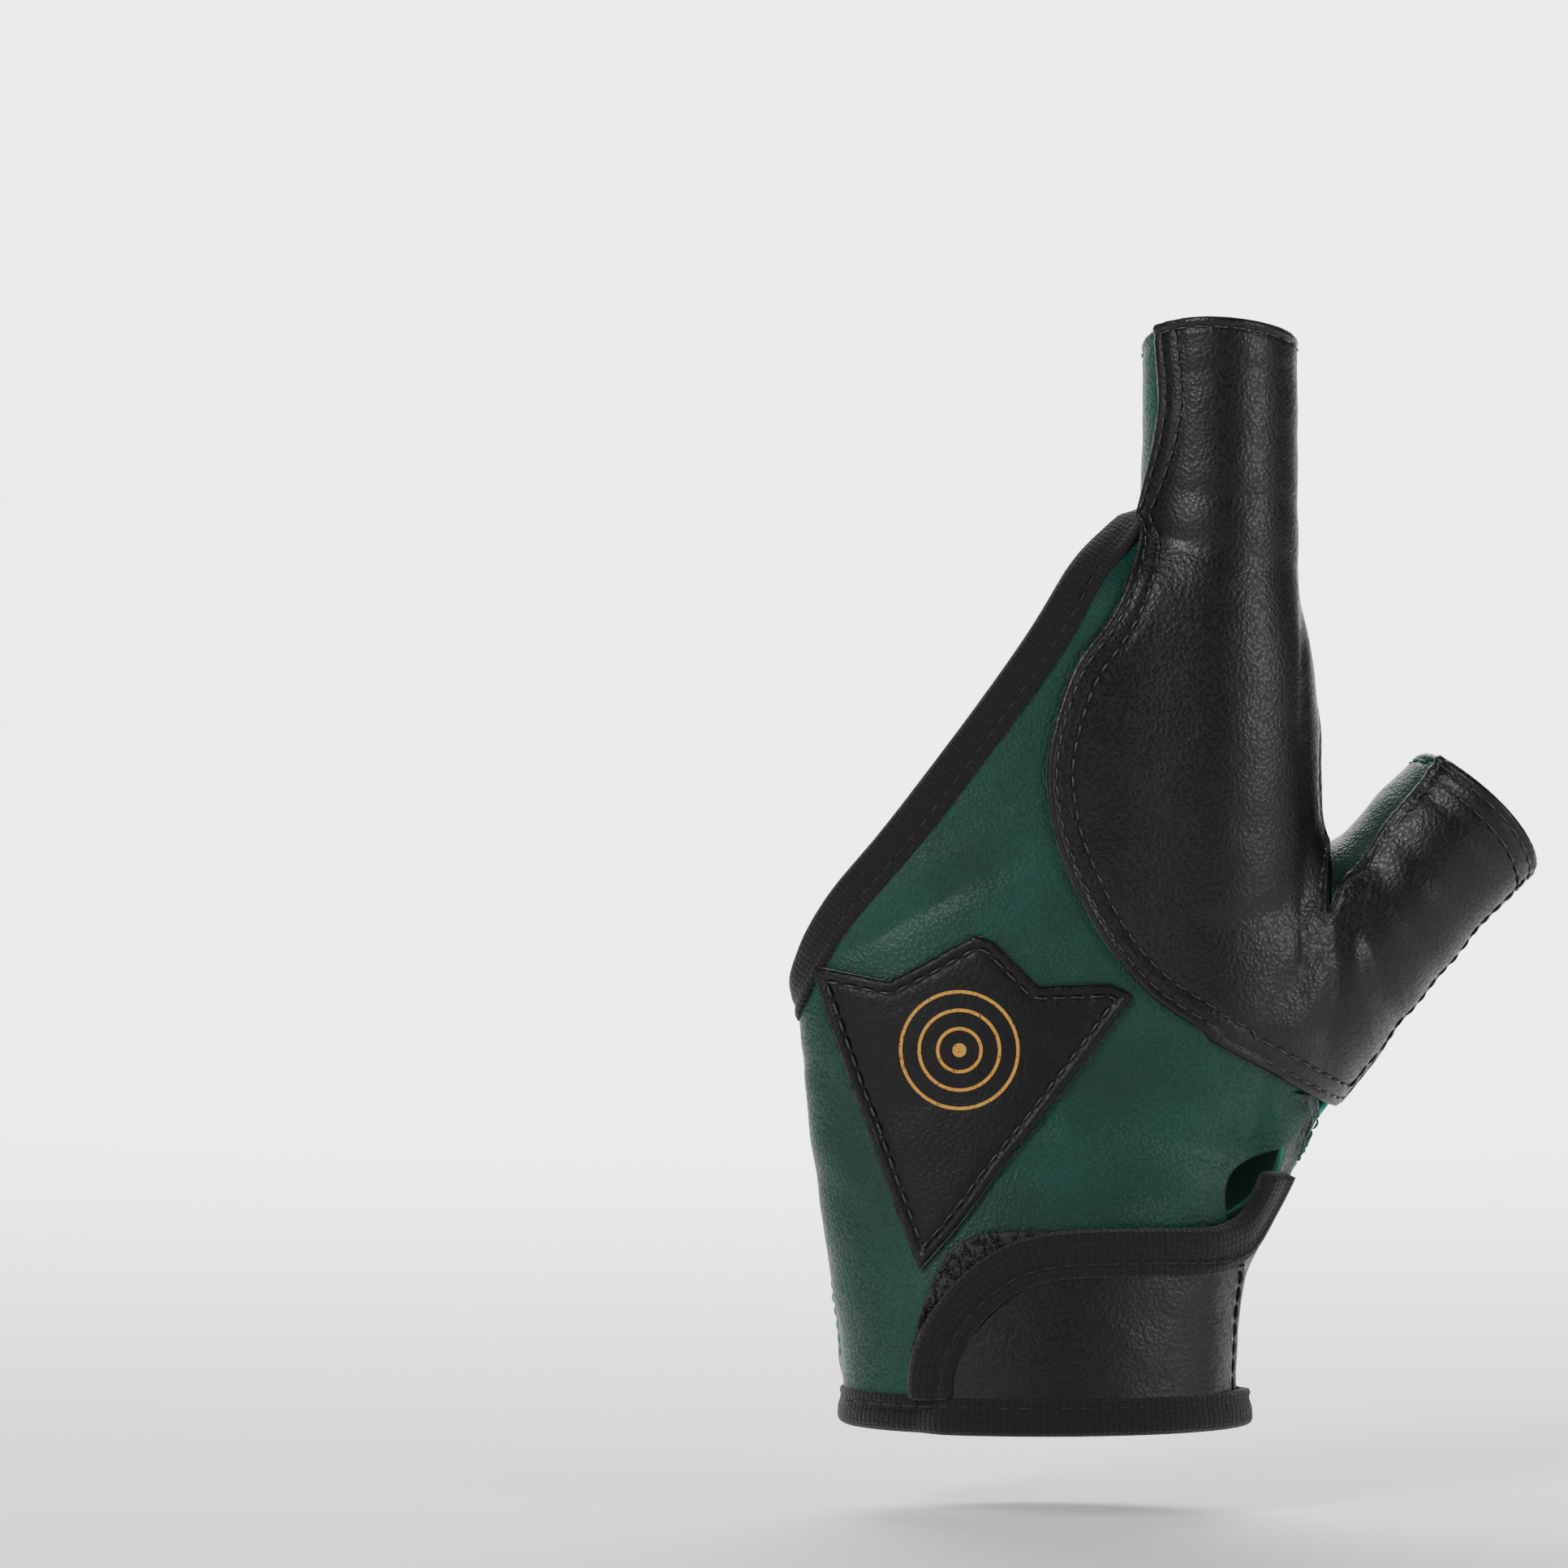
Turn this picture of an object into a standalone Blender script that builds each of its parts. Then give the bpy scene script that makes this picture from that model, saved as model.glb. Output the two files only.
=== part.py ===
"""Archery glove for the left hand, in its worn form: back of the hand towards -Y, index sleeve up, thumb to +X.

The leather panels are walls on one common form, the surface of the gloved hand: three elliptic tubes (palm,
index finger, thumb) blended into each other. A panel is a grid of points on that form, lifted off it along
the form's normal. The origin is the middle of the wrist opening, at the height of the hem's lower edge.
"""

import math

import bpy
import numpy as np

# The gloved hand, in metres
HAND_BREADTH = 0.084
HAND_DEPTH = 0.029
WRIST_WIDTH = 0.0606
WRIST_DEPTH = 0.0410
PALM_LENGTH = 0.100
FINGER_PLACE = 0.0283
FINGER_WIDTH = 0.0222
FINGER_DEPTH = 0.0206
FINGER_LENGTH = 0.0730
THUMB_PLACE = 0.0280
THUMB_HEIGHT = 0.0560
THUMB_ANGLE = 43.0
THUMB_LENGTH = 0.0595
THUMB_WIDTH = 0.0232
THUMB_DEPTH = 0.0210
THUMB_BLEND = 0.012
FINGER_BLEND = 0.009
END_SLANT = 0.0032

# Leather and trim
LEATHER = 0.0010
CLEARANCE = 0.0003
LAP_GAP = 0.0008
BAND_WIDTH = 0.0064
BAND_THICKNESS = 0.0024
HEM_HEIGHT = 0.0059
TAB_BAND_WIDTH = 0.0072
PILE_THICKNESS = 0.0010

# Gathers of the elastic wrist and the grid's spacing
GATHER_PITCH = 0.0094
GATHER_HEIGHT = 0.0011
GRID_STEP = 0.0048

# Sides of the hand that a point lies on; a number instead is the turn round the row's middle, in degrees
BACK = "back"
PALM = "palm"


def table(names, *rows):
    """Columns by name from rows of numbers."""
    return {name: np.array(column, float) for name, column in zip(names.split(), zip(*rows))}


# Sections of the palm: height as a share of the palm's length, middle as a share of the breadth, spread and
# flat as shares of the way from the wrist's to the hand's width and depth, rise of the middle in depths
PALM_SECTIONS = table(
    "height middle spread flat rise",
    (-0.20, 0.002, 0.00, 0.00, 0.03),
    (0.10, 0.002, 0.02, 0.05, 0.03),
    (0.21, -0.001, 0.13, 0.22, 0.02),
    (0.31, 0.000, 0.27, 0.45, 0.00),
    (0.49, 0.006, 0.53, 0.80, -0.04),
    (0.70, 0.012, 0.74, 0.95, -0.08),
    (0.85, 0.006, 0.87, 1.00, -0.08),
    (1.04, -0.010, 1.00, 1.00, -0.09),
    (1.20, 0.020, 0.60, 1.15, -0.10),
    (1.34, 0.060, -0.30, 1.45, -0.11),
    (1.44, 0.110, -1.40, 2.00, -0.12),
    (1.50, 0.140, -2.20, 2.80, -0.12),
)
# Sections of the index sleeve: height from the palm's top as a share of the sleeve, others in sleeve sizes
FINGER_SECTIONS = table(
    "height middle width depth rise",
    (-0.50, -0.10, 1.15, 1.20, -0.14),
    (0.00, -0.05, 1.17, 1.26, -0.17),
    (0.27, -0.02, 1.10, 1.16, -0.18),
    (0.55, -0.01, 1.03, 1.06, -0.19),
    (0.82, 0.00, 0.98, 1.00, -0.19),
    (1.20, 0.00, 0.97, 0.99, -0.19),
)
# Sections of the thumb: reach along its axis as a share of its length, others in thumb sizes
THUMB_SECTIONS = table(
    "reach middle width depth rise",
    (-0.60, -0.10, 0.60, 0.60, 0.20),
    (-0.34, -0.10, 1.25, 1.25, 0.24),
    (0.00, 0.03, 1.45, 1.48, 0.26),
    (0.30, 0.00, 1.28, 1.40, 0.24),
    (0.47, 0.00, 1.12, 1.22, 0.18),
    (0.67, 0.02, 1.02, 1.08, 0.15),
    (0.84, 0.08, 1.02, 1.00, 0.14),
    (1.20, 0.09, 0.97, 0.98, 0.14),
)
# Folds and dents: two ends as shares of breadth and palm length, side (-1 back, 1 palm), height and width
# as shares of the palm's length
FOLDS = table(
    "x1 z1 x2 z2 side height width",
    (0.34, 0.40, 0.38, 0.50, -1, -0.008, 0.045),
    (0.16, 0.43, 0.32, 0.45, -1, -0.008, 0.045),
    (-0.20, 0.45, 0.05, 0.40, 1, 0.007, 0.045),
    (0.10, 1.14, 0.30, 1.18, 1, -0.006, 0.050),
    (0.72, 0.92, 0.80, 0.74, 1, -0.005, 0.045),
    (0.60, 0.88, 0.68, 0.66, 1, -0.005, 0.045),
    (0.30, 0.52, 0.56, 0.66, 1, -0.006, 0.050),
    (-0.38, 0.50, -0.10, 0.56, -1, -0.004, 0.045),
)
# The middle line that the level rows turn round: height in palm lengths, place in breadths
LEVEL_SPINE = table(
    "height place",
    (0.00, 0.000),
    (0.30, 0.040),
    (0.45, 0.090),
    (0.60, 0.060),
    (0.75, 0.040),
    (0.90, 0.090),
    (1.00, 0.170),
    (1.10, 0.260),
    (1.20, 0.315),
    (1.80, 0.337),
)


def smooth(at, places, values):
    """Cubic through a table's values that keeps to their rises and falls."""
    at = np.clip(at, places[0], places[-1])
    step = np.diff(places)
    rise = np.diff(values) / step
    same = rise[:-1] * rise[1:] > 0
    total = np.where(same, rise[:-1] + rise[1:], 1.0)
    middle = np.where(same, 2 * rise[:-1] * rise[1:] / total, 0.0)
    slope = np.concatenate([rise[:1], middle, rise[-1:]])
    k = np.clip(np.searchsorted(places, at, side="right") - 1, 0, len(step) - 1)
    t = (at - places[k]) / step[k]
    keep = (1 + 2 * t) * (1 - t) ** 2 * values[k] + t * t * (3 - 2 * t) * values[k + 1]
    turn = t * (1 - t) ** 2 * slope[k] - t * t * (1 - t) * slope[k + 1]
    return keep + turn * step[k]


def read(sections, name, at):
    """A table's column at places along its first column."""
    along = next(iter(sections.values()))
    return smooth(at, along, sections[name])


def step_up(value, low, high):
    """0 below low, 1 above high, smooth between."""
    t = np.clip((value - low) / (high - low), 0, 1)
    return t * t * (3 - 2 * t)


def mix(low, high, share):
    """The value that lies a share of the way from low to high."""
    return low + (high - low) * share


def outside(across, out, half_width, half_depth):
    """Distance outside an ellipse, nearly true close to it."""
    u = across / half_width
    v = out / half_depth
    size = np.hypot(u, v)
    slope = np.hypot(u / half_width, v / half_depth)
    tiny = 1e-3
    return (size - 1) * np.sqrt((size**2 + tiny) / (slope**2 + tiny / half_depth**2))


def blended(one, other, reach):
    """Two distances joined with a fillet of this reach."""
    share = np.clip(0.5 + 0.5 * (other - one) / reach, 0, 1)
    return mix(other, one, share) - reach * share * (1 - share)


def thumb_axes():
    """Root of the thumb and the directions along it and across it, in X and Z."""
    angle = math.radians(THUMB_ANGLE)
    root = np.array([THUMB_PLACE, THUMB_HEIGHT])
    along = np.array([math.cos(angle), math.sin(angle)])
    across = np.array([-math.sin(angle), math.cos(angle)])
    return root, along, across


def relief(x, y, z):
    """Height of the gathers and folds over the plain form."""
    height = z / PALM_LENGTH
    palm_side = step_up(y, 0.0, 0.3 * WRIST_DEPTH)
    inside = step_up(WRIST_WIDTH / 2 - np.abs(x), 0.0, 0.15 * WRIST_WIDTH)
    gathered = step_up(height, 0.05, 0.10) * (1 - step_up(height, 0.17, 0.42))
    total = GATHER_HEIGHT * np.cos(2 * np.pi * x / GATHER_PITCH) * gathered * palm_side * inside
    for k in range(len(FOLDS["x1"])):
        fold = {name: column[k] for name, column in FOLDS.items()}
        start = np.array([fold["x1"] * HAND_BREADTH, fold["z1"] * PALM_LENGTH])
        span = np.array([fold["x2"] * HAND_BREADTH, fold["z2"] * PALM_LENGTH]) - start
        along = np.clip(((x - start[0]) * span[0] + (z - start[1]) * span[1]) / (span @ span), 0, 1)
        away = np.hypot(x - start[0] - along * span[0], z - start[1] - along * span[1])
        side = step_up(y * fold["side"], 0.0, 0.15 * HAND_DEPTH)
        bump = np.exp(-((away / (fold["width"] * PALM_LENGTH)) ** 2))
        total = total + fold["height"] * PALM_LENGTH * bump * side
    return total


def form(points):
    """Distance outside the gloved hand: negative inside, nearly true close to the surface."""
    x, y, z = points[..., 0], points[..., 1], points[..., 2]
    height = z / PALM_LENGTH
    width = mix(WRIST_WIDTH, HAND_BREADTH, read(PALM_SECTIONS, "spread", height)) / 2
    depth = mix(WRIST_DEPTH, HAND_DEPTH, read(PALM_SECTIONS, "flat", height)) / 2
    width = np.maximum(width, 0.05 * HAND_BREADTH)
    depth = np.maximum(depth, 0.05 * HAND_DEPTH)
    middle = read(PALM_SECTIONS, "middle", height) * HAND_BREADTH
    rise = read(PALM_SECTIONS, "rise", height) * HAND_DEPTH
    closed = np.maximum(height - 1.37, 0) * PALM_LENGTH
    palm = outside(x - middle, y - rise, width, depth) + closed

    height = (z - PALM_LENGTH) / FINGER_LENGTH
    across = x - FINGER_PLACE - read(FINGER_SECTIONS, "middle", height) * FINGER_WIDTH
    out = y - read(FINGER_SECTIONS, "rise", height) * FINGER_DEPTH
    width = read(FINGER_SECTIONS, "width", height) * FINGER_WIDTH / 2
    depth = read(FINGER_SECTIONS, "depth", height) * FINGER_DEPTH / 2
    closed = np.maximum(-0.5 - height, 0) * FINGER_LENGTH
    finger = outside(across, out, width, depth) + closed

    root, along, across = thumb_axes()
    reach = ((x - root[0]) * along[0] + (z - root[1]) * along[1]) / THUMB_LENGTH
    aside = (x - root[0]) * across[0] + (z - root[1]) * across[1]
    aside = aside - read(THUMB_SECTIONS, "middle", reach) * THUMB_WIDTH
    out = y - read(THUMB_SECTIONS, "rise", reach) * THUMB_DEPTH
    width = read(THUMB_SECTIONS, "width", reach) * THUMB_WIDTH / 2
    depth = read(THUMB_SECTIONS, "depth", reach) * THUMB_DEPTH / 2
    closed = np.maximum(-0.6 - reach, 0) * THUMB_LENGTH
    thumb = outside(aside, out, width, depth) + closed
    hand = blended(blended(palm, finger, FINGER_BLEND), thumb, THUMB_BLEND)
    return hand - relief(x, y, z)


def normals_of(points):
    """Outward unit normals of the form."""
    span = 2e-5
    slopes = []
    for axis in np.eye(3) * span:
        slopes.append(form(points + axis) - form(points - axis))
    slopes = np.stack(slopes, axis=-1)
    return slopes / np.linalg.norm(slopes, axis=-1, keepdims=True)


def cast(origins, directions):
    """Where rays from inside first leave the form."""
    origins, directions = np.broadcast_arrays(origins, directions)
    stride = 0.06 * HAND_BREADTH / 2
    steps = np.arange(1, 34) * stride
    values = np.stack([form(origins + directions * s) for s in steps])
    left_it = values > 0
    first = np.where(left_it.any(axis=0), np.argmax(left_it, axis=0), len(steps) - 1)
    high = steps[first]
    low = high - stride
    for _ in range(20):
        middle = (low + high) / 2
        beyond = form(origins + directions * middle[..., None]) > 0
        high = np.where(beyond, middle, high)
        low = np.where(beyond, low, middle)
    return origins + directions * high[..., None]


def mid_depth(x, z):
    """Depth at which the form is thickest behind a point of the front view."""
    depths = np.linspace(-0.7, 0.9, 49) * WRIST_DEPTH / 2
    x, z = np.broadcast_arrays(x, z)
    points = np.stack(np.broadcast_arrays(x[..., None], depths, z[..., None]), axis=-1)
    return depths[np.argmin(form(points), axis=-1)]


def spot(frame, one, two):
    """X and Z of a point given in shares of the hand's, the index sleeve's or the thumb's sizes."""
    if frame == "hand":
        return one * HAND_BREADTH, two * PALM_LENGTH
    if frame == "finger":
        return FINGER_PLACE + one * FINGER_WIDTH, PALM_LENGTH + two * FINGER_LENGTH
    root, along, across = thumb_axes()
    x, z = root + along * one * THUMB_LENGTH + across * two * THUMB_WIDTH
    return x, z


def direction(tilt, turn):
    """Unit vector of a turn in the row plane whose across direction tilts up from X."""
    x = np.cos(tilt) * np.cos(turn)
    z = np.sin(tilt) * np.cos(turn)
    y = np.sin(turn) + 0 * tilt
    return np.stack(np.broadcast_arrays(x, y, z), axis=-1)


def find_turn(spine, tilt, x, z, side):
    """Turn round a spine point at which the form passes a point of the front view, on one side."""
    if not isinstance(side, str):
        return math.radians(side)
    sign = -1 if side == BACK else 1
    turns = np.radians(np.arange(0, 181, 2.0)) * sign
    hits = cast(spine, direction(np.array(tilt), turns)) - spine
    across = hits[:, 0] * math.cos(tilt) + hits[:, 2] * math.sin(tilt)
    wanted = (x - spine[0]) * math.cos(tilt) + (z - spine[2]) * math.sin(tilt)
    falls = np.minimum.accumulate(across)
    return float(np.interp(-wanted, -falls, turns))


def level_spine(heights):
    """Points on the middle line of the level rows."""
    x = read(LEVEL_SPINE, "place", heights / PALM_LENGTH) * HAND_BREADTH
    return np.stack([x, mid_depth(x, heights), heights], axis=-1)


def level_edge(rows):
    """An edge on level rows, as a function from heights to turns."""
    heights, turns = [], []
    for frame, one, two, side in rows:
        x, z = spot(frame, one, two)
        spine = level_spine(np.array([z]))[0]
        heights.append(z)
        turns.append(find_turn(spine, 0.0, x, z, side))
    heights, turns = np.array(heights), np.array(turns)
    return lambda at: smooth(at, heights, turns)


def end_slant(heights, turns):
    """Rise of the index sleeve's upper edge at the back and its fall at the palm."""
    share = step_up(heights, PALM_LENGTH + 0.65 * FINGER_LENGTH, PALM_LENGTH + FINGER_LENGTH)
    return -END_SLANT * share * np.sin(turns)


def on_level_rows(heights, turns):
    """Points of the form at heights and turns round the level spine."""
    rise = end_slant(heights, turns)
    origins = level_spine(heights)
    origins[..., 2] += rise
    return cast(origins, direction(np.zeros_like(turns), turns))


def even_turns(spines, tilts, starts, ends, count):
    """Turns that divide each row between its start and its end into equal lengths."""
    shares = np.linspace(0, 1, 61)
    turns = mix(starts[:, None], ends[:, None], shares)
    points = cast(spines[:, None, :], direction(tilts[:, None], turns))
    lengths = np.linalg.norm(np.diff(points, axis=1), axis=-1)
    run = np.concatenate([np.zeros((len(turns), 1)), np.cumsum(lengths, axis=1)], axis=1)
    even = []
    for row, path in zip(turns, run):
        even.append(np.interp(np.linspace(0, path[-1], count + 1), path, row))
    return np.array(even)


def level_grid(heights, start, end, count):
    """Grid of points on level rows from one edge function to another."""
    spines = level_spine(heights)
    starts, ends = start(heights), end(heights)
    turns = even_turns(spines, np.zeros(len(heights)), starts, ends, count)
    return on_level_rows(np.repeat(heights[:, None], count + 1, axis=1), turns)


def fan_rows(pairs, rows, sinks=None):
    """Row planes that fan round from pair to pair of edge points, whose middles may sink to the hand's back."""
    sinks = np.zeros(len(pairs)) if sinks is None else np.array(sinks)
    keys = []
    for (start, end), sink in zip(pairs, sinks):
        first = np.array(spot(*start[:3]))
        last = np.array(spot(*end[:3]))
        middle = (first + last) / 2
        spine = np.array([middle[0], mid_depth(*middle) - sink, middle[1]])
        tilt = math.atan2(*(last - first)[::-1])
        turns = [find_turn(spine, tilt, *first, start[3]), find_turn(spine, tilt, *last, end[3])]
        keys.append([*spine, tilt, *turns])
    keys = np.array(keys)
    keys[:, 3] = np.unwrap(keys[:, 3])
    ends = np.array([[spot(*pair[0][:3]), spot(*pair[1][:3])] for pair in pairs])
    gaps = np.linalg.norm(np.diff(ends, axis=0), axis=-1).mean(axis=1)
    run = np.concatenate([[0], np.cumsum(gaps)])
    at = np.linspace(0, run[-1], rows + 1)
    spines = np.stack([smooth(at, run, keys[:, k]) for k in range(3)], axis=-1)
    spines[:, 1] = mid_depth(spines[:, 0], spines[:, 2]) - smooth(at, run, sinks)
    tilts, starts, ends = (smooth(at, run, keys[:, k]) for k in (3, 4, 5))
    return {"run": run, "at": at, "spines": spines, "tilts": tilts, "starts": starts, "ends": ends}


def fan_grid(fan, starts, ends, count, bows=None, slant=0.0, chosen=slice(None)):
    """Grid of points on the chosen rows of a fan.

    A row may bow aside in the front view, and the last quarter of the rows slants at the thumb's end.
    """
    at, tilts, spines = fan["at"][chosen], fan["tilts"][chosen], fan["spines"][chosen]
    turns = even_turns(spines, tilts, starts[chosen], ends[chosen], count)
    share = np.linspace(0, 1, count + 1)
    aside = end_slant(spines[:, None, 2], turns)
    aside = aside + slant * step_up(at / fan["run"][-1], 0.75, 1.0)[:, None] * np.sin(turns)
    if bows is not None:
        aside = aside + smooth(at, fan["run"], np.array(bows))[:, None] * 4 * share * (1 - share)
    shift = np.stack([-np.sin(tilts), np.zeros_like(tilts), np.cos(tilts)], axis=-1)
    origins = spines[:, None, :] + aside[..., None] * shift[:, None, :]
    return cast(origins, direction(tilts[:, None], turns))


def front_grid(x, z):
    """Points of the form straight behind points of the front view."""
    origins = np.stack([x, mid_depth(x, z), z], axis=-1)
    return cast(origins, np.array([0.0, -1.0, 0.0]))


def rows_between(low, high):
    """Heights between two heights, about a grid step apart."""
    return np.linspace(low, high, max(2, round((high - low) / GRID_STEP)) + 1)


def material(name, colour, roughness):
    """Principled material of one colour."""
    made = bpy.data.materials.new(name)
    made.use_nodes = True
    shader = made.node_tree.nodes["Principled BSDF"]
    shader.inputs["Base Color"].default_value = (*colour, 1.0)
    shader.inputs["Roughness"].default_value = roughness
    return made


def add_object(name, points, faces, finish):
    """Smooth mesh object from the points and faces of a closed body, turned to face outwards."""
    volume = 0.0
    for face in faces:
        for second, third in zip(face[1:-1], face[2:]):
            volume += points[face[0]] @ np.cross(points[second], points[third])
    if volume < 0:
        faces = [face[::-1] for face in faces]
    mesh = bpy.data.meshes.new(name)
    mesh.from_pydata(points.tolist(), [], faces)
    mesh.validate()
    mesh.materials.append(finish)
    mesh.shade_smooth()
    mesh.set_sharp_from_angle(angle=math.radians(40))
    made = bpy.data.objects.new(name, mesh)
    bpy.context.scene.collection.objects.link(made)
    return made


def add_wall(name, grids, level, thickness, finish):
    """Closed wall on one or more grids that share edges, from a level over the form outwards.

    The level is a length, or a function from points to lengths.
    """
    points, faces = [], []
    for grid in grids:
        base = sum(len(part) for part in points)
        rows, columns = grid.shape[:2]
        index = base + np.arange(rows * columns).reshape(rows, columns)
        facing = np.cross(grid[1:, 1:] - grid[:-1, :-1], grid[1:, :-1] - grid[:-1, 1:])
        if (facing * normals_of(grid[1:, 1:])).sum() < 0:
            index = index[::-1]
        quads = np.stack([index[:-1, :-1], index[:-1, 1:], index[1:, 1:], index[1:, :-1]], axis=-1)
        points.append(grid.reshape(-1, 3))
        faces.append(quads.reshape(-1, 4))
    points, faces = np.concatenate(points), np.concatenate(faces)
    _, first, where = np.unique(np.round(points * 1e6), axis=0, return_index=True, return_inverse=True)
    points, faces = points[first], where.reshape(-1)[faces]
    normals = normals_of(points)
    bottom = level(points)[:, None] if callable(level) else level
    count = len(points)
    points = np.concatenate([points + normals * bottom, points + normals * (bottom + thickness)])
    edges = np.concatenate([faces[:, [k, (k + 1) % 4]] for k in range(4)])
    edges = edges[edges[:, 0] != edges[:, 1]]
    known = {tuple(edge) for edge in edges.tolist()}
    rim = [(a, b, b + count, a + count) for a, b in known if (b, a) not in known]
    outer = [[int(k) + count for k in dict.fromkeys(face.tolist())] for face in faces]
    inner = [[int(k) for k in dict.fromkeys(face[::-1].tolist())] for face in faces]
    every = [face for face in outer + inner if len(face) > 2] + [list(face) for face in rim]
    return add_object(name, points, every, finish)


def add_bar(name, path, section, finish, closed, lift=None):
    """Bar of a section, points across and outwards, carried along a path on the form."""
    normals = normals_of(path)
    if closed:
        along = np.roll(path, -1, axis=0) - np.roll(path, 1, axis=0)
    else:
        along = np.gradient(path, axis=0)
    across = np.cross(normals, along)
    across /= np.linalg.norm(across, axis=-1, keepdims=True)
    raised = np.zeros(len(path)) if lift is None else lift
    section = np.array(section)
    rings = path[:, None, :] + section[None, :, :1] * across[:, None, :]
    rings = rings + (section[None, :, 1:] + raised[:, None, None]) * normals[:, None, :]
    stations, sides = rings.shape[:2]
    faces = []
    for i in range(stations if closed else stations - 1):
        for j in range(sides):
            near, far = i * sides, (i + 1) % stations * sides
            after = (j + 1) % sides
            faces.append([near + j, far + j, far + after, near + after])
    if not closed:
        faces.append(list(range(sides)))
        faces.append([(stations - 1) * sides + j for j in reversed(range(sides))])
    return add_object(name, rings.reshape(-1, 3), faces, finish)


def band_section(width, low, high):
    """Flat band with its outer long edges rounded off, as points across and outwards."""
    round_off = 0.35 * (high - low)
    half = width / 2
    return [
        (-half, low),
        (half, low),
        (half, high - round_off),
        (half - round_off, high),
        (-half + round_off, high),
        (-half, high - round_off),
    ]


# Edges of the panels on level rows
BACK_RIGHT = (
    ("hand", 0.312, 0.062, BACK),
    ("hand", 0.322, 0.250, BACK),
    ("hand", 0.343, 0.320, BACK),
    ("hand", 0.369, 0.420, BACK),
    ("hand", 0.425, 0.450, BACK),
    ("hand", 0.448, 0.480, BACK),
    ("hand", 0.459, 0.560, BACK),
    ("hand", 0.429, 0.641, BACK),
    ("hand", 0.310, 0.744, BACK),
    ("hand", 0.214, 0.822, BACK),
    ("hand", 0.125, 0.950, BACK),
    ("hand", 0.111, 1.036, BACK),
    ("hand", 0.149, 1.181, BACK),
    ("finger", -0.374, 0.473, BACK),
    ("finger", -0.216, 0.644, BACK),
    ("finger", -0.126, 0.822, BACK),
    ("finger", -0.126, 1.000, BACK),
)
PALM_SEAM = (
    ("hand", 0.298, 0.062, PALM),
    ("hand", 0.298, 0.350, PALM),
    ("hand", 0.278, 0.364, PALM),
    ("hand", 0.179, 0.401, PALM),
    ("hand", 0.099, 0.491, PALM),
    ("hand", 0.085, 0.568, PALM),
    ("hand", 0.096, 0.672, PALM),
    ("hand", 0.146, 0.796, PALM),
    ("hand", 0.232, 0.942, PALM),
    ("hand", 0.301, 1.019, PALM),
    ("finger", -0.059, 0.137, PALM),
    ("finger", -0.014, 0.411, PALM),
    ("finger", -0.104, 0.685, PALM),
    ("finger", -0.149, 1.000, PALM),
)
# Right edge of the palm panel below the thumb, up the wrist slit, and above the thumb, under the facing
PALM_LOW_RIGHT = (
    ("hand", 0.328, 0.062, BACK),
    ("hand", 0.338, 0.220, BACK),
    ("hand", 0.375, 0.300, BACK),
    ("hand", 0.405, 0.340, BACK),
    ("hand", 0.440, 0.400, BACK),
    ("hand", 0.455, 0.450, BACK),
    ("hand", 0.460, 0.500, BACK),
    ("hand", 0.466, 0.540, BACK),
)
EAR_EDGE = (
    ("hand", 0.278, 0.364, PALM),
    ("hand", 0.361, 0.370, PALM),
    ("hand", 0.420, 0.401, PALM),
    ("hand", 0.500, 0.440, 4),
    ("hand", 0.500, 0.470, -12),
    ("hand", 0.520, 0.500, BACK),
    ("hand", 0.490, 0.540, BACK),
)
PALM_HIGH_RIGHT = (
    ("hand", 0.530, 0.985, 4),
    ("hand", 0.520, 1.019, -12),
    ("hand", 0.500, 1.080, -14),
    ("finger", 0.617, 0.200, -12),
    ("finger", 0.600, 0.300, 4),
    ("finger", 0.400, 0.401, 12),
    ("finger", 0.350, 0.542, 26),
    ("finger", 0.300, 0.671, 34),
    ("finger", 0.200, 0.822, 44),
    ("finger", 0.180, 1.000, 48),
)
TONGUE_LEFT = (
    ("hand", 0.362, 0.802, PALM),
    ("hand", 0.340, 0.880, PALM),
    ("hand", 0.318, 0.950, PALM),
    ("hand", 0.301, 1.019, PALM),
)
TONGUE_RIGHT = (
    ("hand", 0.372, 0.802, PALM),
    ("hand", 0.440, 0.850, PALM),
    ("hand", 0.505, 0.905, PALM),
    ("hand", 0.530, 0.950, PALM),
    ("hand", 0.530, 0.975, 8),
    ("hand", 0.520, 1.019, -12),
)
# The thumb piece's rows from the thumb's lower side over the palm side to its upper ridge
THUMB_ROWS = (
    (("hand", 0.238, 0.330, PALM), ("hand", 0.286, 1.050, PALM)),
    (("hand", 0.360, 0.330, PALM), ("hand", 0.345, 1.035, PALM)),
    (("hand", 0.440, 0.385, PALM), ("hand", 0.405, 1.000, PALM)),
    (("hand", 0.500, 0.465, 174), ("hand", 0.476, 0.968, PALM)),
    (("thumb", 0.104, -0.760, 178), ("hand", 0.531, 0.950, 20)),
    (("thumb", 0.160, -0.780, 182), ("hand", 0.550, 0.975, 6)),
    (("thumb", 0.345, -0.740, 192), ("hand", 0.575, 0.972, 4)),
    (("thumb", 0.520, -0.660, 192), ("hand", 0.599, 0.980, 4)),
    (("thumb", 0.674, -0.590, 192), ("hand", 0.625, 0.990, 4)),
    (("thumb", 0.840, -0.520, 192), ("thumb", 0.840, 0.600, 4)),
    (("thumb", 1.000, -0.510, 192), ("thumb", 1.000, 0.577, 4)),
)
# The turn that the piece reaches on the thumb's back beyond the ridge, and the rows' bows and sinks
THUMB_FLAP = (20.0, 20.0, 20.0, 20.0, 20.0, -95.0, -86.0, -74.0, -72.0, -68.0, -60.0)
THUMB_BOWS = (0.170, 0.110, 0.050, 0.020, 0.0, 0.0, 0.0, 0.0, 0.0, 0.0, 0.0)
THUMB_SINKS = (0.45, 0.45, 0.35, 0.20, 0.05, 0.0, 0.0, 0.0, 0.0, 0.0, 0.0)
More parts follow.
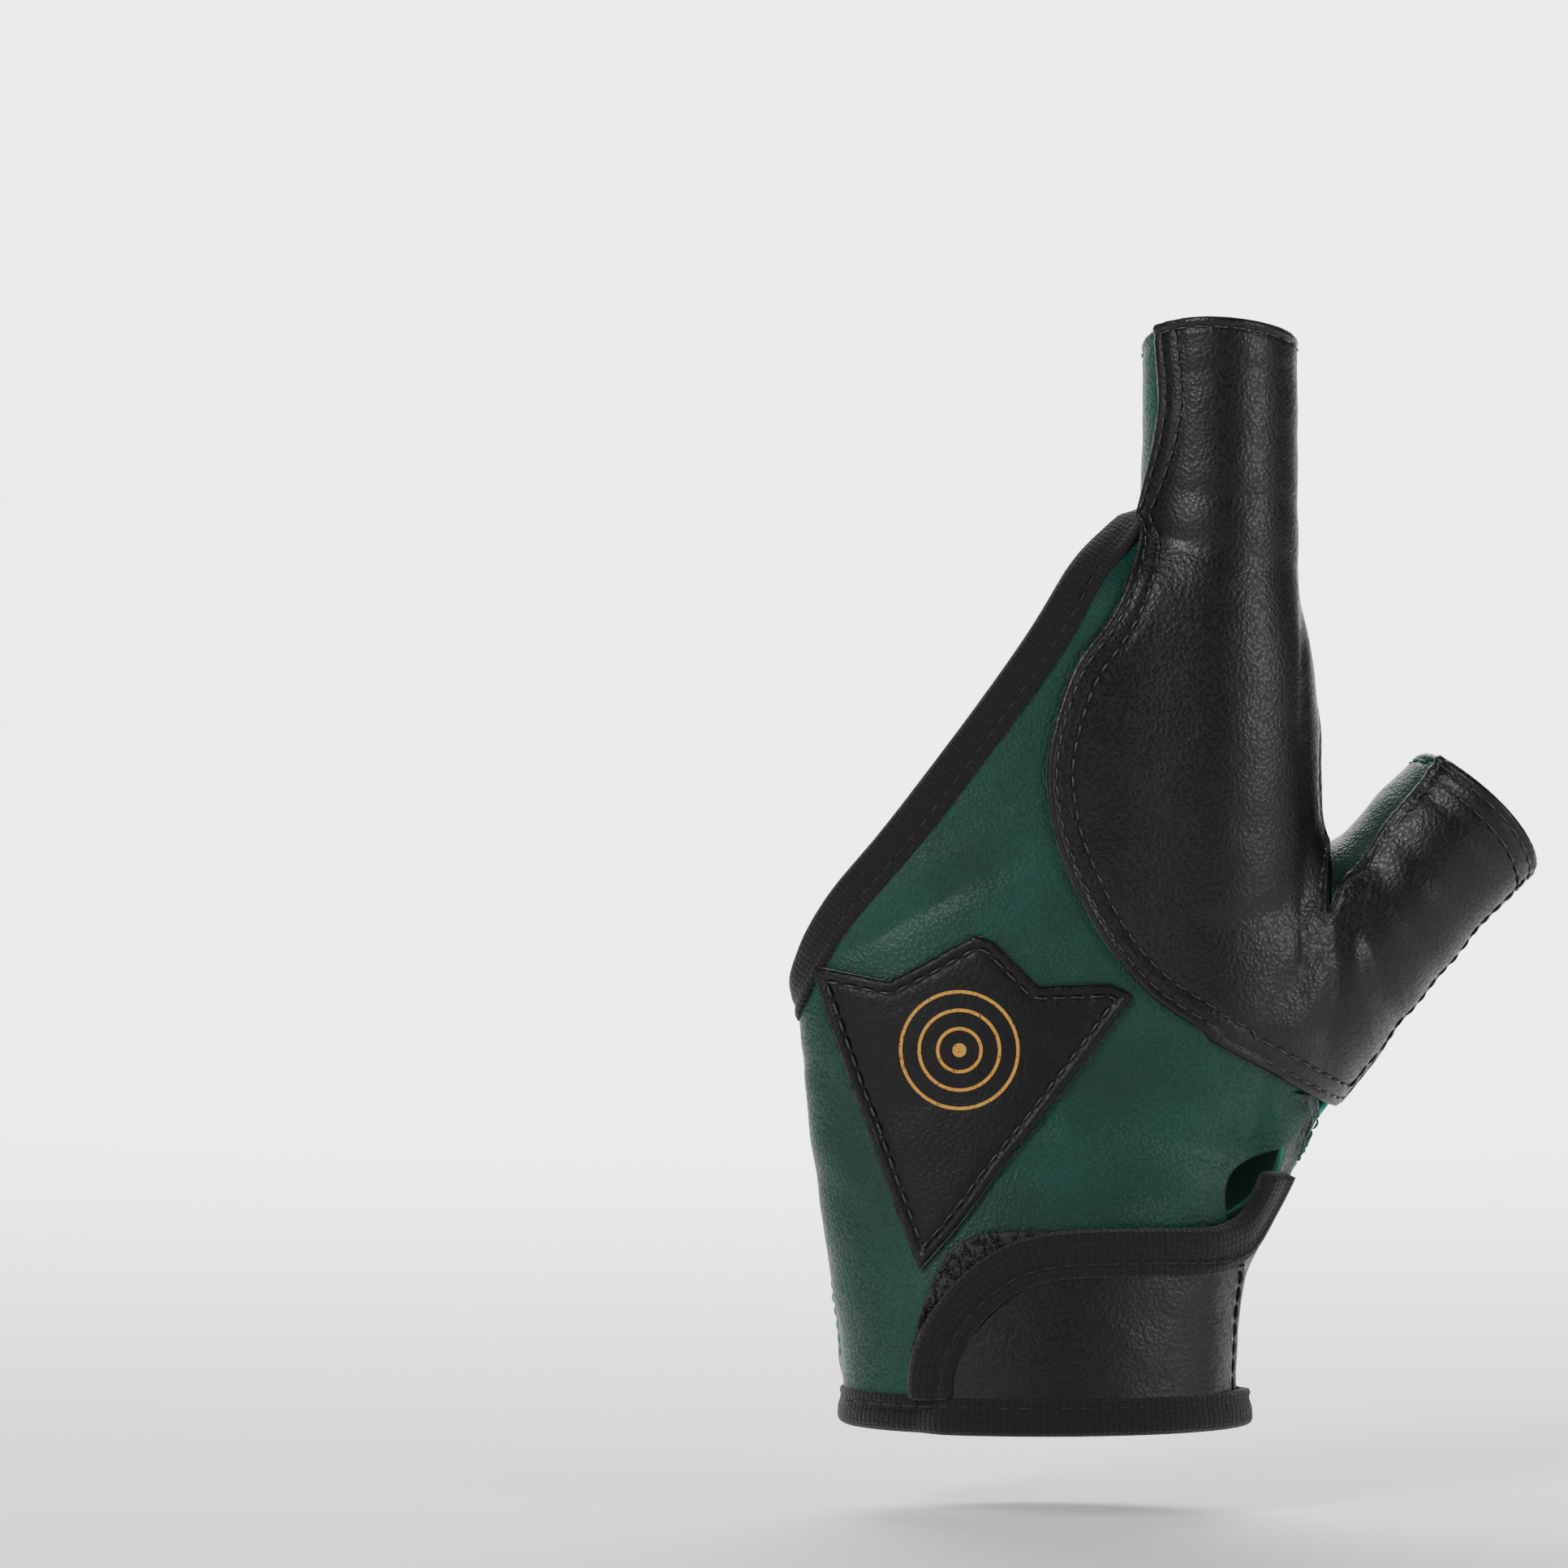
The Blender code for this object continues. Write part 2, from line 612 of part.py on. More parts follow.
# The facing's rows from its outer edge over the back to its inner edge
FACING_ROWS = (
    (("finger", -0.405, 1.000, BACK), ("finger", 0.207, 1.000, PALM)),
    (("finger", -0.383, 0.826, BACK), ("finger", 0.230, 0.826, PALM)),
    (("finger", -0.473, 0.673, BACK), ("finger", 0.347, 0.673, PALM)),
    (("finger", -0.570, 0.542, BACK), ("finger", 0.405, 0.542, PALM)),
    (("hand", 0.130, 1.293, BACK), ("finger", 0.464, 0.401, PALM)),
    (("hand", 0.058, 1.207, BACK), ("finger", 0.560, 0.284, PALM)),
    (("hand", 0.021, 1.121, BACK), ("finger", 0.600, 0.166, 0)),
    (("hand", 0.006, 1.044, BACK), ("hand", 0.523, 1.032, -4)),
    (("hand", 0.012, 0.980, BACK), ("hand", 0.537, 0.950, BACK)),
    (("hand", 0.026, 0.930, BACK), ("hand", 0.536, 0.880, BACK)),
    (("hand", 0.062, 0.855, BACK), ("hand", 0.535, 0.835, BACK)),
    (("hand", 0.119, 0.769, BACK), ("hand", 0.535, 0.822, BACK)),
    (("hand", 0.201, 0.692, BACK), ("hand", 0.536, 0.819, BACK)),
    (("hand", 0.304, 0.632, BACK), ("hand", 0.538, 0.820, BACK)),
    (("hand", 0.405, 0.581, BACK), ("hand", 0.543, 0.826, BACK)),
    (("hand", 0.480, 0.545, BACK), ("hand", 0.550, 0.838, BACK)),
    (("thumb", 0.190, -0.700, BACK), ("hand", 0.565, 0.862, BACK)),
    (("thumb", 0.300, -0.740, -184), ("thumb", 0.639, 0.368, BACK)),
    (("thumb", 0.480, -0.671, -190), ("thumb", 0.700, 0.380, BACK)),
    (("thumb", 0.654, -0.597, -190), ("thumb", 0.780, 0.430, BACK)),
    (("thumb", 0.837, -0.541, -190), ("thumb", 0.870, 0.455, BACK)),
    (("thumb", 1.000, -0.510, -190), ("thumb", 1.000, 0.500, BACK)),
)
# Middle line of the band round the finger opening, once round on level rows
OPENING = (
    ("finger", -0.554, 0.625, -180),
    ("hand", 0.100, 1.375, BACK),
    ("hand", 0.026, 1.274, BACK),
    ("hand", -0.095, 1.128, BACK),
    ("hand", -0.187, 1.025, BACK),
    ("hand", -0.280, 0.923, BACK),
    ("hand", -0.382, 0.819, BACK),
    ("hand", -0.425, 0.755, BACK),
    ("hand", -0.440, 0.668, -180),
    ("hand", -0.369, 0.701, PALM),
    ("hand", -0.250, 0.779, PALM),
    ("hand", -0.137, 0.855, PALM),
    ("hand", -0.023, 0.940, PALM),
    ("hand", 0.065, 1.026, PALM),
    ("hand", 0.135, 1.106, PALM),
    ("hand", 0.182, 1.195, PALM),
    ("finger", -0.480, 0.411, PALM),
    ("finger", -0.500, 0.531, PALM),
)
# Arrowhead patch: place across in breadths, lower and upper edge in palm lengths
PATCH = table(
    "place low high",
    (-0.404, 0.716, 0.730),
    (-0.350, 0.588, 0.721),
    (-0.282, 0.436, 0.712),
    (-0.224, 0.262, 0.742),
    (-0.170, 0.328, 0.770),
    (-0.110, 0.404, 0.783),
    (-0.060, 0.468, 0.742),
    (-0.010, 0.532, 0.705),
    (0.060, 0.622, 0.707),
    (0.125, 0.704, 0.712),
    (0.157, 0.724, 0.712),
)
# Closure tab: place across in breadths, upper edge in palm lengths
TAB_TOP = table(
    "place top",
    (-0.160, 0.080),
    (-0.152, 0.108),
    (-0.115, 0.158),
    (-0.065, 0.205),
    (-0.005, 0.236),
    (0.100, 0.242),
    (0.260, 0.244),
    (0.354, 0.250),
)
# Middle line of the tab's band, from the hem round its free end to the top of the wrist slit
TAB_BAND = (
    ("hand", -0.199, 0.105, BACK),
    ("hand", -0.189, 0.130, BACK),
    ("hand", -0.161, 0.178, BACK),
    ("hand", -0.111, 0.228, BACK),
    ("hand", -0.050, 0.266, BACK),
    ("hand", 0.040, 0.283, BACK),
    ("hand", 0.170, 0.286, BACK),
    ("hand", 0.300, 0.289, BACK),
    ("hand", 0.370, 0.306, BACK),
    ("hand", 0.405, 0.360, BACK),
    ("hand", 0.428, 0.425, BACK),
)
# Pile strip: place across in breadths, lower and upper edge in palm lengths
PILE = table(
    "place low high",
    (-0.236, 0.072, 0.110),
    (-0.222, 0.072, 0.180),
    (-0.195, 0.072, 0.250),
    (-0.155, 0.072, 0.296),
    (-0.100, 0.072, 0.318),
    (0.000, 0.072, 0.322),
    (0.150, 0.072, 0.322),
    (0.255, 0.072, 0.322),
)


def near_seam(points):
    """1 near the seam of palm panel and thumb piece on the palm side, 0 away from it."""
    x, y, z = points[:, 0], points[:, 1], points[:, 2]
    seam = []
    for edge in (PALM_SEAM[2:10], TONGUE_LEFT[::-1], TONGUE_RIGHT[:4], EAR_EDGE[:6]):
        seam.append(np.array([spot(*row[:3]) for row in edge]))
    nearest = np.full(len(points), 1.0)
    for line in seam:
        for start, end in zip(line[:-1], line[1:]):
            span = end - start
            along = np.clip(((x - start[0]) * span[0] + (z - start[1]) * span[1]) / (span @ span), 0, 1)
            away = np.hypot(x - start[0] - along * span[0], z - start[1] - along * span[1])
            nearest = np.minimum(nearest, away)
    share = 1 - step_up(nearest, 1.5 * BAND_WIDTH, 2.8 * BAND_WIDTH)
    return share * step_up(y, -0.06 * WRIST_DEPTH, 0.04 * WRIST_DEPTH)


def tongue_level(points):
    """Level of the palm panel: it rises over the thumb piece along their seam."""
    return (LEATHER + LAP_GAP + CLEARANCE) * near_seam(points)


def thumb_level(points):
    """Level of the thumb piece: it sinks under the palm panel along their seam."""
    return -4 * CLEARANCE * near_seam(points)


def green_panels(green):
    """Back panel, palm panel and thumb piece."""
    bottom = HEM_HEIGHT + CLEARANCE
    top = PALM_LENGTH + FINGER_LENGTH
    back_left, palm_left, around = beside_opening()
    heights = np.unique(np.concatenate([rows_between(bottom, top), around]))
    back = level_grid(heights, back_left, level_edge(BACK_RIGHT), 13)
    add_wall("back_panel", [back], 0.0, LEATHER, green)

    seam = level_edge(PALM_SEAM)
    split = EAR_EDGE[0][2] * PALM_LENGTH
    apex = TONGUE_LEFT[-1][2] * PALM_LENGTH
    ear_top = EAR_EDGE[-1][2] * PALM_LENGTH
    notch = TONGUE_LEFT[0][2] * PALM_LENGTH
    low = rows_between(bottom, split)
    high = np.unique(np.concatenate([rows_between(apex, top), around[around > apex]]))
    middle = np.concatenate([rows_between(split, apex), around[around < apex]])
    beside = np.unique(np.concatenate([low, middle, high]))
    ear = np.concatenate([[split], split + (ear_top - split) * np.array([0.08, 0.2, 0.4, 0.6, 0.8, 1.0])])
    grids = [
        level_grid(beside, palm_left, seam, 16),
        level_grid(low, seam, level_edge(PALM_LOW_RIGHT), 9),
        level_grid(ear, level_edge(EAR_EDGE), level_edge(PALM_LOW_RIGHT), 9),
        level_grid(rows_between(notch, apex), level_edge(TONGUE_LEFT), level_edge(TONGUE_RIGHT), 6),
        level_grid(high, seam, level_edge(PALM_HIGH_RIGHT), 6),
    ]
    add_wall("palm_panel", grids, tongue_level, LEATHER, green)

    bows = [bow * PALM_LENGTH for bow in THUMB_BOWS]
    sinks = [sink * HAND_DEPTH for sink in THUMB_SINKS]
    fan = fan_rows(THUMB_ROWS, 19, sinks)
    wrap = fan_grid(fan, fan["starts"], fan["ends"], 14, bows, END_SLANT)
    flap = smooth(fan["at"], fan["run"], np.radians(THUMB_FLAP))
    open_rows = slice(int(np.argmax(fan["at"] > fan["run"][4])) - 1, None)
    first = open_rows.start
    flap[first] = fan["ends"][first]
    over = fan_grid(fan, fan["ends"], flap, 5, None, END_SLANT, open_rows)
    add_wall("thumb_piece", [wrap, over], thumb_level, LEATHER, green)


def black_panels(black):
    """Facing of the index finger and thumb, arrowhead patch and closure tab."""
    second = LEATHER + LAP_GAP
    fan = fan_rows(FACING_ROWS, 41)
    facing = fan_grid(fan, fan["starts"], fan["ends"], 11, slant=END_SLANT)
    add_wall("finger_thumb_facing", [facing], second, LEATHER, black)

    share = np.linspace(0, 1, 8)
    low, high = PATCH["low"] * PALM_LENGTH, PATCH["high"] * PALM_LENGTH
    z = mix(np.minimum(low, high)[:, None], np.maximum(low, high)[:, None], share)
    x = np.repeat(PATCH["place"][:, None] * HAND_BREADTH, 8, axis=1)
    add_wall("emblem_patch", [front_grid(x, z)], second, LEATHER, black)

    places = np.linspace(0, 1, 13)
    x = smooth(places, np.linspace(0, 1, len(TAB_TOP["place"])), TAB_TOP["place"])
    top = smooth(x, TAB_TOP["place"], TAB_TOP["top"]) * PALM_LENGTH
    z = mix(HEM_HEIGHT + 2 * CLEARANCE, top[:, None], np.linspace(0, 1, 6))
    turns = tab_turns(x * HAND_BREADTH)
    grid = on_level_rows(z, np.repeat(turns[:, None], 6, axis=1))
    add_wall("closure_tab", [grid], tab_level, LEATHER, black)


def tab_turns(x):
    """Turns round the wrist of places across its back."""
    height = HEM_HEIGHT + 0.09 * PALM_LENGTH
    spine = level_spine(np.array([height]))[0]
    return np.array([find_turn(spine, 0.0, place, height, BACK) for place in x])


def tab_level(points):
    """Level of the tab: over the pile, then down onto the palm panel at its sewn end."""
    down = step_up(points[:, 0], 0.312 * HAND_BREADTH, 0.350 * HAND_BREADTH)
    free = LEATHER + PILE_THICKNESS + 2 * LAP_GAP
    return mix(free, LEATHER + LAP_GAP, down)


def opening_path():
    """Middle line of the band round the finger opening, about a grid step from point to point."""
    heights, turns = [], []
    for frame, one, two, side in OPENING:
        x, z = spot(frame, one, two)
        turn = find_turn(level_spine(np.array([z]))[0], 0.0, x, z, side)
        heights.append(z)
        turns.append(turn if turn <= 0 else turn - 2 * math.pi)
    heights, turns = np.array(heights + heights[:1]), np.array(turns + turns[:1])
    keys = on_level_rows(heights, turns)
    run = np.concatenate([[0], np.cumsum(np.linalg.norm(np.diff(keys, axis=0), axis=-1))])
    at = np.linspace(0, run[-1], round(run[-1] / (1.15 * GRID_STEP)) + 1)[:-1]
    return on_level_rows(smooth(at, run, heights), smooth(at, run, turns))


def beside_opening():
    """Edges of the back and palm panels beside the opening's band, and the heights where it turns round."""
    path = opening_path()
    along = np.roll(path, -1, axis=0) - np.roll(path, 1, axis=0)
    across = np.cross(normals_of(path), along)
    across /= np.linalg.norm(across, axis=-1, keepdims=True)
    if (across * (path - path.mean(axis=0))).sum() < 0:
        across = -across
    room = 0.2 * BAND_WIDTH * step_up(path[:, 2], 1.30 * PALM_LENGTH, 1.38 * PALM_LENGTH)
    edge = path + across * (BAND_WIDTH / 2 + 2 * CLEARANCE + room)[:, None]
    spine = level_spine(edge[:, 2])
    turns = np.arctan2(edge[:, 1] - spine[:, 1], edge[:, 0] - spine[:, 0])
    lowest, highest = edge[:, 2].min(), edge[:, 2].max()
    steps = np.array([0.0001, 0.0012, 0.0030])
    around = np.concatenate([lowest + steps, highest - steps])
    sides = []
    for sign in (-1, 1):
        chosen = turns * sign > 0
        order = np.argsort(edge[chosen, 2])
        heights, angles = edge[chosen, 2][order], np.abs(turns[chosen])[order]
        seam = math.pi if sign < 0 else math.pi - 0.025
        heights = np.concatenate([[lowest], heights, [highest]])
        angles = np.concatenate([[seam], np.minimum(angles, seam), [seam]]) * sign
        sides.append(lambda at, heights=heights, angles=angles: np.interp(at, heights, angles))
    return sides[0], sides[1], around


def bands(knit):
    """Knit bands round the finger opening, the hem and the tab."""
    half = BAND_THICKNESS / 2
    low, high = LEATHER / 2 - half, LEATHER / 2 + half
    add_bar("opening_binding", opening_path(), band_section(BAND_WIDTH, low, high), knit, True)

    turns = np.linspace(0, 2 * math.pi, 45)[:-1]
    path = on_level_rows(np.full(len(turns), HEM_HEIGHT / 2), turns)
    on_back = step_up(-path[:, 1], 0.0, 0.5 * HEM_HEIGHT)
    under_tab = step_up(path[:, 0], -0.26 * HAND_BREADTH, -0.20 * HAND_BREADTH) * on_back
    thick = under_tab * (PILE_THICKNESS + LEATHER)
    add_bar("hem_binding", path, band_section(HEM_HEIGHT, low, high), knit, True, thick)

    keys = np.array([spot(*row[:3]) for row in TAB_BAND])
    run = np.concatenate([[0], np.cumsum(np.linalg.norm(np.diff(keys, axis=0), axis=-1))])
    at = np.linspace(0, run[-1], round(run[-1] / (1.2 * GRID_STEP)) + 1)
    x, z = smooth(at, run, keys[:, 0]), smooth(at, run, keys[:, 1])
    path = front_grid(x, z)
    section = band_section(TAB_BAND_WIDTH, 0.0, BAND_THICKNESS - CLEARANCE)
    add_bar("tab_binding", path, section, knit, False, tab_level(path))


def pile_strip(pile):
    """Pile strip that the tab closes on."""
    share = np.linspace(0, 1, 6)
    places = np.unique(np.concatenate([PILE["place"], np.linspace(-0.1, PILE["place"][-1], 9)]))
    high = smooth(places, PILE["place"], PILE["high"])
    z = mix(PILE["low"][0], high[:, None], share) * PALM_LENGTH
    x = np.repeat(places[:, None] * HAND_BREADTH, 6, axis=1)
    add_wall("loop_patch", [front_grid(x, z)], LEATHER + LAP_GAP, PILE_THICKNESS, pile)


def main():
    """Clear the scene and build the glove."""
    for thing in list(bpy.data.objects):
        bpy.data.objects.remove(thing)
    green = material("green goat leather", (0.023, 0.115, 0.093), 0.5)
    black = material("black goat leather", (0.012, 0.010, 0.016), 0.45)
    knit = material("black knit binding", (0.013, 0.012, 0.018), 0.85)
    pile = material("black loop pile", (0.010, 0.009, 0.013), 0.95)
    green_panels(green)
    black_panels(black)
    bands(knit)
    pile_strip(pile)


main()
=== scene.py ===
"""Looks of the archery glove: leather panels, knit bands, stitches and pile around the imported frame.

Every piece lies on one form, the surface of the gloved hand: three elliptic tubes blended into each other.
A panel is a grid of points on the form, moved along the form's normal to the height of its own two faces.
All lengths are in metres; -Y is the back of the hand, +Z the index finger, +X the thumb.
"""

import logging
import math
from dataclasses import dataclass, field
from enum import Enum
from typing import Any, Callable

import bpy
import numpy as np
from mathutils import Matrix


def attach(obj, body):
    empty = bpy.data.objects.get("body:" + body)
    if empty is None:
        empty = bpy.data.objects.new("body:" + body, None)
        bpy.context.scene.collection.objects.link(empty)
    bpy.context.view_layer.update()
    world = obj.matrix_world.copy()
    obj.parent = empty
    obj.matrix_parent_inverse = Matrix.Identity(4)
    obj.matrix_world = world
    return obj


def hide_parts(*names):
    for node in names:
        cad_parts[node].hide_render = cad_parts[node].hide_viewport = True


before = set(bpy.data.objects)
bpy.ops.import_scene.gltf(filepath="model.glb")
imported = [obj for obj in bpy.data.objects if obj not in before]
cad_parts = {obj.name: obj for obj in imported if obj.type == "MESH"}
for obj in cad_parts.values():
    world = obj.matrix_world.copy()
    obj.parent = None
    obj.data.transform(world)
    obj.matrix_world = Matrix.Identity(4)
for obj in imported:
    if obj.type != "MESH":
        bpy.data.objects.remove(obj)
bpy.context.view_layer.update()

LOG = logging.getLogger("archery_glove")
MM = 0.001

LEATHER = 1.0 * MM
LAP = 1.1 * MM
EDGE_STEPS = np.array([0.0, 0.3, 0.7, 1.1, 1.5, 1.9, 2.4, 2.9, 3.4, 4.1]) * MM


class Side(Enum):
    """Side of the hand that a point of the front view lies on."""

    BACK = -1
    PALM = 1


class Zone(Enum):
    """Part of the hand whose sizes a point is given in."""

    HAND = "hand"
    FINGER = "finger"
    THUMB = "thumb"


HAND, FINGER, THUMB = Zone.HAND, Zone.FINGER, Zone.THUMB
BACK, PALM = Side.BACK, Side.PALM
Spot = tuple[Zone, float, float, Side | float]
Edge = Callable[[np.ndarray], np.ndarray]
Leather = list[bpy.types.Material]


def table(names: str, *rows: tuple[float, ...]) -> dict[str, np.ndarray]:
    """Return columns by name from rows of numbers.

    Args:
        names: the columns' names, parted by spaces.
        rows: one tuple for each row.

    Returns:
        One array for each column.
    """
    return {name: np.array(column, float) for name, column in zip(names.split(), zip(*rows))}


def smooth(at: np.ndarray, places: np.ndarray, values: np.ndarray) -> np.ndarray:
    """Return a cubic through a table's values that keeps to their rises and falls.

    The slope at each place is the harmonic mean of the slopes beside it, or 0 where they differ in sign.

    Args:
        at: where to read the curve.
        places: the table's places, rising.
        values: the table's values.

    Returns:
        The curve's values, held level beyond the table's ends.
    """
    at = np.clip(at, places[0], places[-1])
    step = np.diff(places)
    rise = np.diff(values) / step
    same = rise[:-1] * rise[1:] > 0
    total = np.where(same, rise[:-1] + rise[1:], 1.0)
    middle = np.where(same, 2 * rise[:-1] * rise[1:] / total, 0.0)
    slope = np.concatenate([rise[:1], middle, rise[-1:]])
    k = np.clip(np.searchsorted(places, at, side="right") - 1, 0, len(step) - 1)
    t = (at - places[k]) / step[k]
    keep = (1 + 2 * t) * (1 - t) ** 2 * values[k] + t * t * (3 - 2 * t) * values[k + 1]
    turn = t * (1 - t) ** 2 * slope[k] - t * t * (1 - t) * slope[k + 1]
    return keep + turn * step[k]


def rounded(at: np.ndarray, places: np.ndarray, values: np.ndarray) -> np.ndarray:
    """Return a Catmull-Rom curve through a table's values: its slopes are the neighbours' mean slopes."""
    slope = np.gradient(values, places)
    k = np.clip(np.searchsorted(places, at, side="right") - 1, 0, len(places) - 2)
    step = places[k + 1] - places[k]
    t = (at - places[k]) / step
    keep = (1 + 2 * t) * (1 - t) ** 2 * values[k] + t * t * (3 - 2 * t) * values[k + 1]
    turn = t * (1 - t) ** 2 * slope[k] - t * t * (1 - t) * slope[k + 1]
    return keep + turn * step


def read(sections: dict[str, np.ndarray], name: str, at: np.ndarray) -> np.ndarray:
    """Return a table's column at places along its first column."""
    return smooth(at, next(iter(sections.values())), sections[name])


def step_up(value: np.ndarray, low: float, high: float) -> np.ndarray:
    """Return 0 below low, 1 above high and 3t^2 - 2t^3 between."""
    t = np.clip((value - low) / (high - low), 0, 1)
    return t * t * (3 - 2 * t)


def mix(low: Any, high: Any, share: Any) -> Any:
    """Return the value that lies a share of the way from low to high."""
    return low + (high - low) * share


def unit(vectors: np.ndarray) -> np.ndarray:
    """Return the vectors at length 1."""
    return vectors / np.maximum(np.linalg.norm(vectors, axis=-1, keepdims=True), 1e-12)


def outside(across: np.ndarray, out: np.ndarray, half_width: Any, half_depth: Any) -> np.ndarray:
    """Return the distance outside an ellipse, nearly true close to it.

    It is (s - 1) s / |gradient of s^2 / 2|, with s the size of the ellipse through the point.
    """
    u = across / half_width
    v = out / half_depth
    size = np.hypot(u, v)
    slope = np.hypot(u / half_width, v / half_depth)
    tiny = 1e-3
    return (size - 1) * np.sqrt((size**2 + tiny) / (slope**2 + tiny / half_depth**2))


def blended(one: np.ndarray, other: np.ndarray, reach: float) -> np.ndarray:
    """Return two distances joined with a fillet: the smaller one less r h (1 - h), h their share."""
    share = np.clip(0.5 + 0.5 * (other - one) / reach, 0, 1)
    return mix(other, one, share) - reach * share * (1 - share)


def off_segment(x: np.ndarray, z: np.ndarray, ends: tuple[float, float, float, float]) -> np.ndarray:
    """Return the distances in the front view from points to a segment (x1, z1, x2, z2)."""
    x1, z1, x2, z2 = ends
    dx, dz = x2 - x1, z2 - z1
    along = np.clip(((x - x1) * dx + (z - z1) * dz) / (dx * dx + dz * dz), 0, 1)
    return np.hypot(x - x1 - along * dx, z - z1 - along * dz)


def off_line(points: np.ndarray, line: np.ndarray) -> np.ndarray:
    """Return each point's distance to the nearest point of a line made dense.

    Args:
        points: any array of points.
        line: the line's points in order.

    Returns:
        The distances, one for each point.
    """
    dense = resample(line, 0.45 * MM)
    flat = points.reshape(-1, 3)
    found = np.empty(len(flat))
    for start in range(0, len(flat), 4000):
        part = flat[start : start + 4000]
        squares = (part**2).sum(1)[:, None] - 2 * part @ dense.T + (dense**2).sum(1)
        found[start : start + 4000] = np.sqrt(np.maximum(squares.min(axis=1), 0))
    return found.reshape(points.shape[:-1])


def run_of(line: np.ndarray) -> np.ndarray:
    """Return the length run at each point of a line."""
    return np.concatenate([[0.0], np.cumsum(np.linalg.norm(np.diff(line, axis=0), axis=1))])


def resample(line: np.ndarray, step: float) -> np.ndarray:
    """Return points about a step apart along a line."""
    run = run_of(line)
    at = np.linspace(0, run[-1], max(2, round(run[-1] / step) + 1))
    return np.stack([np.interp(at, run, line[:, k]) for k in range(3)], axis=1)


# Sections of the palm: height as a share of the palm's length, middle as a share of the breadth, spread and
# flat as shares of the way from the wrist's to the hand's width and depth, rise of the middle in depths
PALM_SECTIONS = table(
    "height middle spread flat rise",
    (-0.20, 0.002, 0.00, 0.00, 0.03),
    (0.10, 0.002, 0.02, 0.05, 0.03),
    (0.21, -0.001, 0.13, 0.22, 0.02),
    (0.31, 0.000, 0.27, 0.45, 0.00),
    (0.49, 0.006, 0.53, 0.80, -0.04),
    (0.70, 0.012, 0.74, 0.95, -0.08),
    (0.85, 0.006, 0.87, 1.00, -0.08),
    (1.04, -0.010, 1.00, 1.00, -0.09),
    (1.20, 0.020, 0.60, 1.15, -0.10),
    (1.34, 0.060, -0.30, 1.45, -0.11),
    (1.44, 0.110, -1.40, 2.00, -0.12),
    (1.50, 0.140, -2.20, 2.80, -0.12),
)
# Sections of the index sleeve: height from the palm's top as a share of the sleeve, others in sleeve sizes
FINGER_SECTIONS = table(
    "height middle width depth rise",
    (-0.50, -0.10, 1.15, 1.20, -0.14),
    (0.00, -0.05, 1.17, 1.26, -0.17),
    (0.27, -0.02, 1.10, 1.16, -0.18),
    (0.55, -0.01, 1.03, 1.06, -0.19),
    (0.82, 0.00, 0.98, 1.00, -0.19),
    (1.20, 0.00, 0.97, 0.99, -0.19),
)
# Sections of the thumb: reach along its axis as a share of its length, others in thumb sizes
THUMB_SECTIONS = table(
    "reach middle width depth rise",
    (-0.60, -0.10, 0.60, 0.60, 0.20),
    (-0.34, -0.10, 1.25, 1.25, 0.24),
    (0.00, 0.03, 1.45, 1.48, 0.26),
    (0.30, 0.00, 1.28, 1.40, 0.24),
    (0.47, 0.00, 1.12, 1.22, 0.18),
    (0.67, 0.02, 1.02, 1.08, 0.15),
    (0.84, 0.08, 1.02, 1.00, 0.14),
    (1.20, 0.09, 0.97, 0.98, 0.14),
)
# Folds and dents: two ends as shares of breadth and palm length, side (-1 back, 1 palm), height and width
# as shares of the palm's length
FOLDS = table(
    "x1 z1 x2 z2 side height width",
    (0.34, 0.40, 0.38, 0.50, -1, -0.008, 0.045),
    (0.16, 0.43, 0.32, 0.45, -1, -0.008, 0.045),
    (-0.20, 0.45, 0.05, 0.40, 1, 0.007, 0.045),
    (0.10, 1.14, 0.30, 1.18, 1, -0.006, 0.050),
    (0.72, 0.92, 0.80, 0.74, 1, -0.005, 0.045),
    (0.60, 0.88, 0.68, 0.66, 1, -0.005, 0.045),
    (0.30, 0.52, 0.56, 0.66, 1, -0.006, 0.050),
    (-0.38, 0.50, -0.10, 0.56, -1, -0.004, 0.045),
)
# The middle line that the level rows turn round: height in palm lengths, place in breadths
LEVEL_SPINE = table(
    "height place",
    (0.00, 0.000),
    (0.30, 0.040),
    (0.45, 0.090),
    (0.60, 0.060),
    (0.75, 0.040),
    (0.90, 0.090),
    (1.00, 0.170),
    (1.10, 0.260),
    (1.20, 0.315),
    (1.80, 0.337),
)


# Edges of the panels on level rows
BACK_RIGHT = (
    (HAND, 0.312, 0.062, BACK),
    (HAND, 0.322, 0.250, BACK),
    (HAND, 0.343, 0.320, BACK),
    (HAND, 0.369, 0.420, BACK),
    (HAND, 0.436, 0.450, BACK),
    (HAND, 0.466, 0.470, BACK),
    (HAND, 0.474, 0.560, BACK),
    (HAND, 0.429, 0.641, BACK),
    (HAND, 0.310, 0.744, BACK),
    (HAND, 0.214, 0.822, BACK),
    (HAND, 0.125, 0.950, BACK),
    (HAND, 0.111, 1.036, BACK),
    (HAND, 0.149, 1.181, BACK),
    (FINGER, -0.374, 0.473, BACK),
    (FINGER, -0.216, 0.644, BACK),
    (FINGER, -0.126, 0.822, BACK),
    (FINGER, -0.126, 1.000, BACK),
)
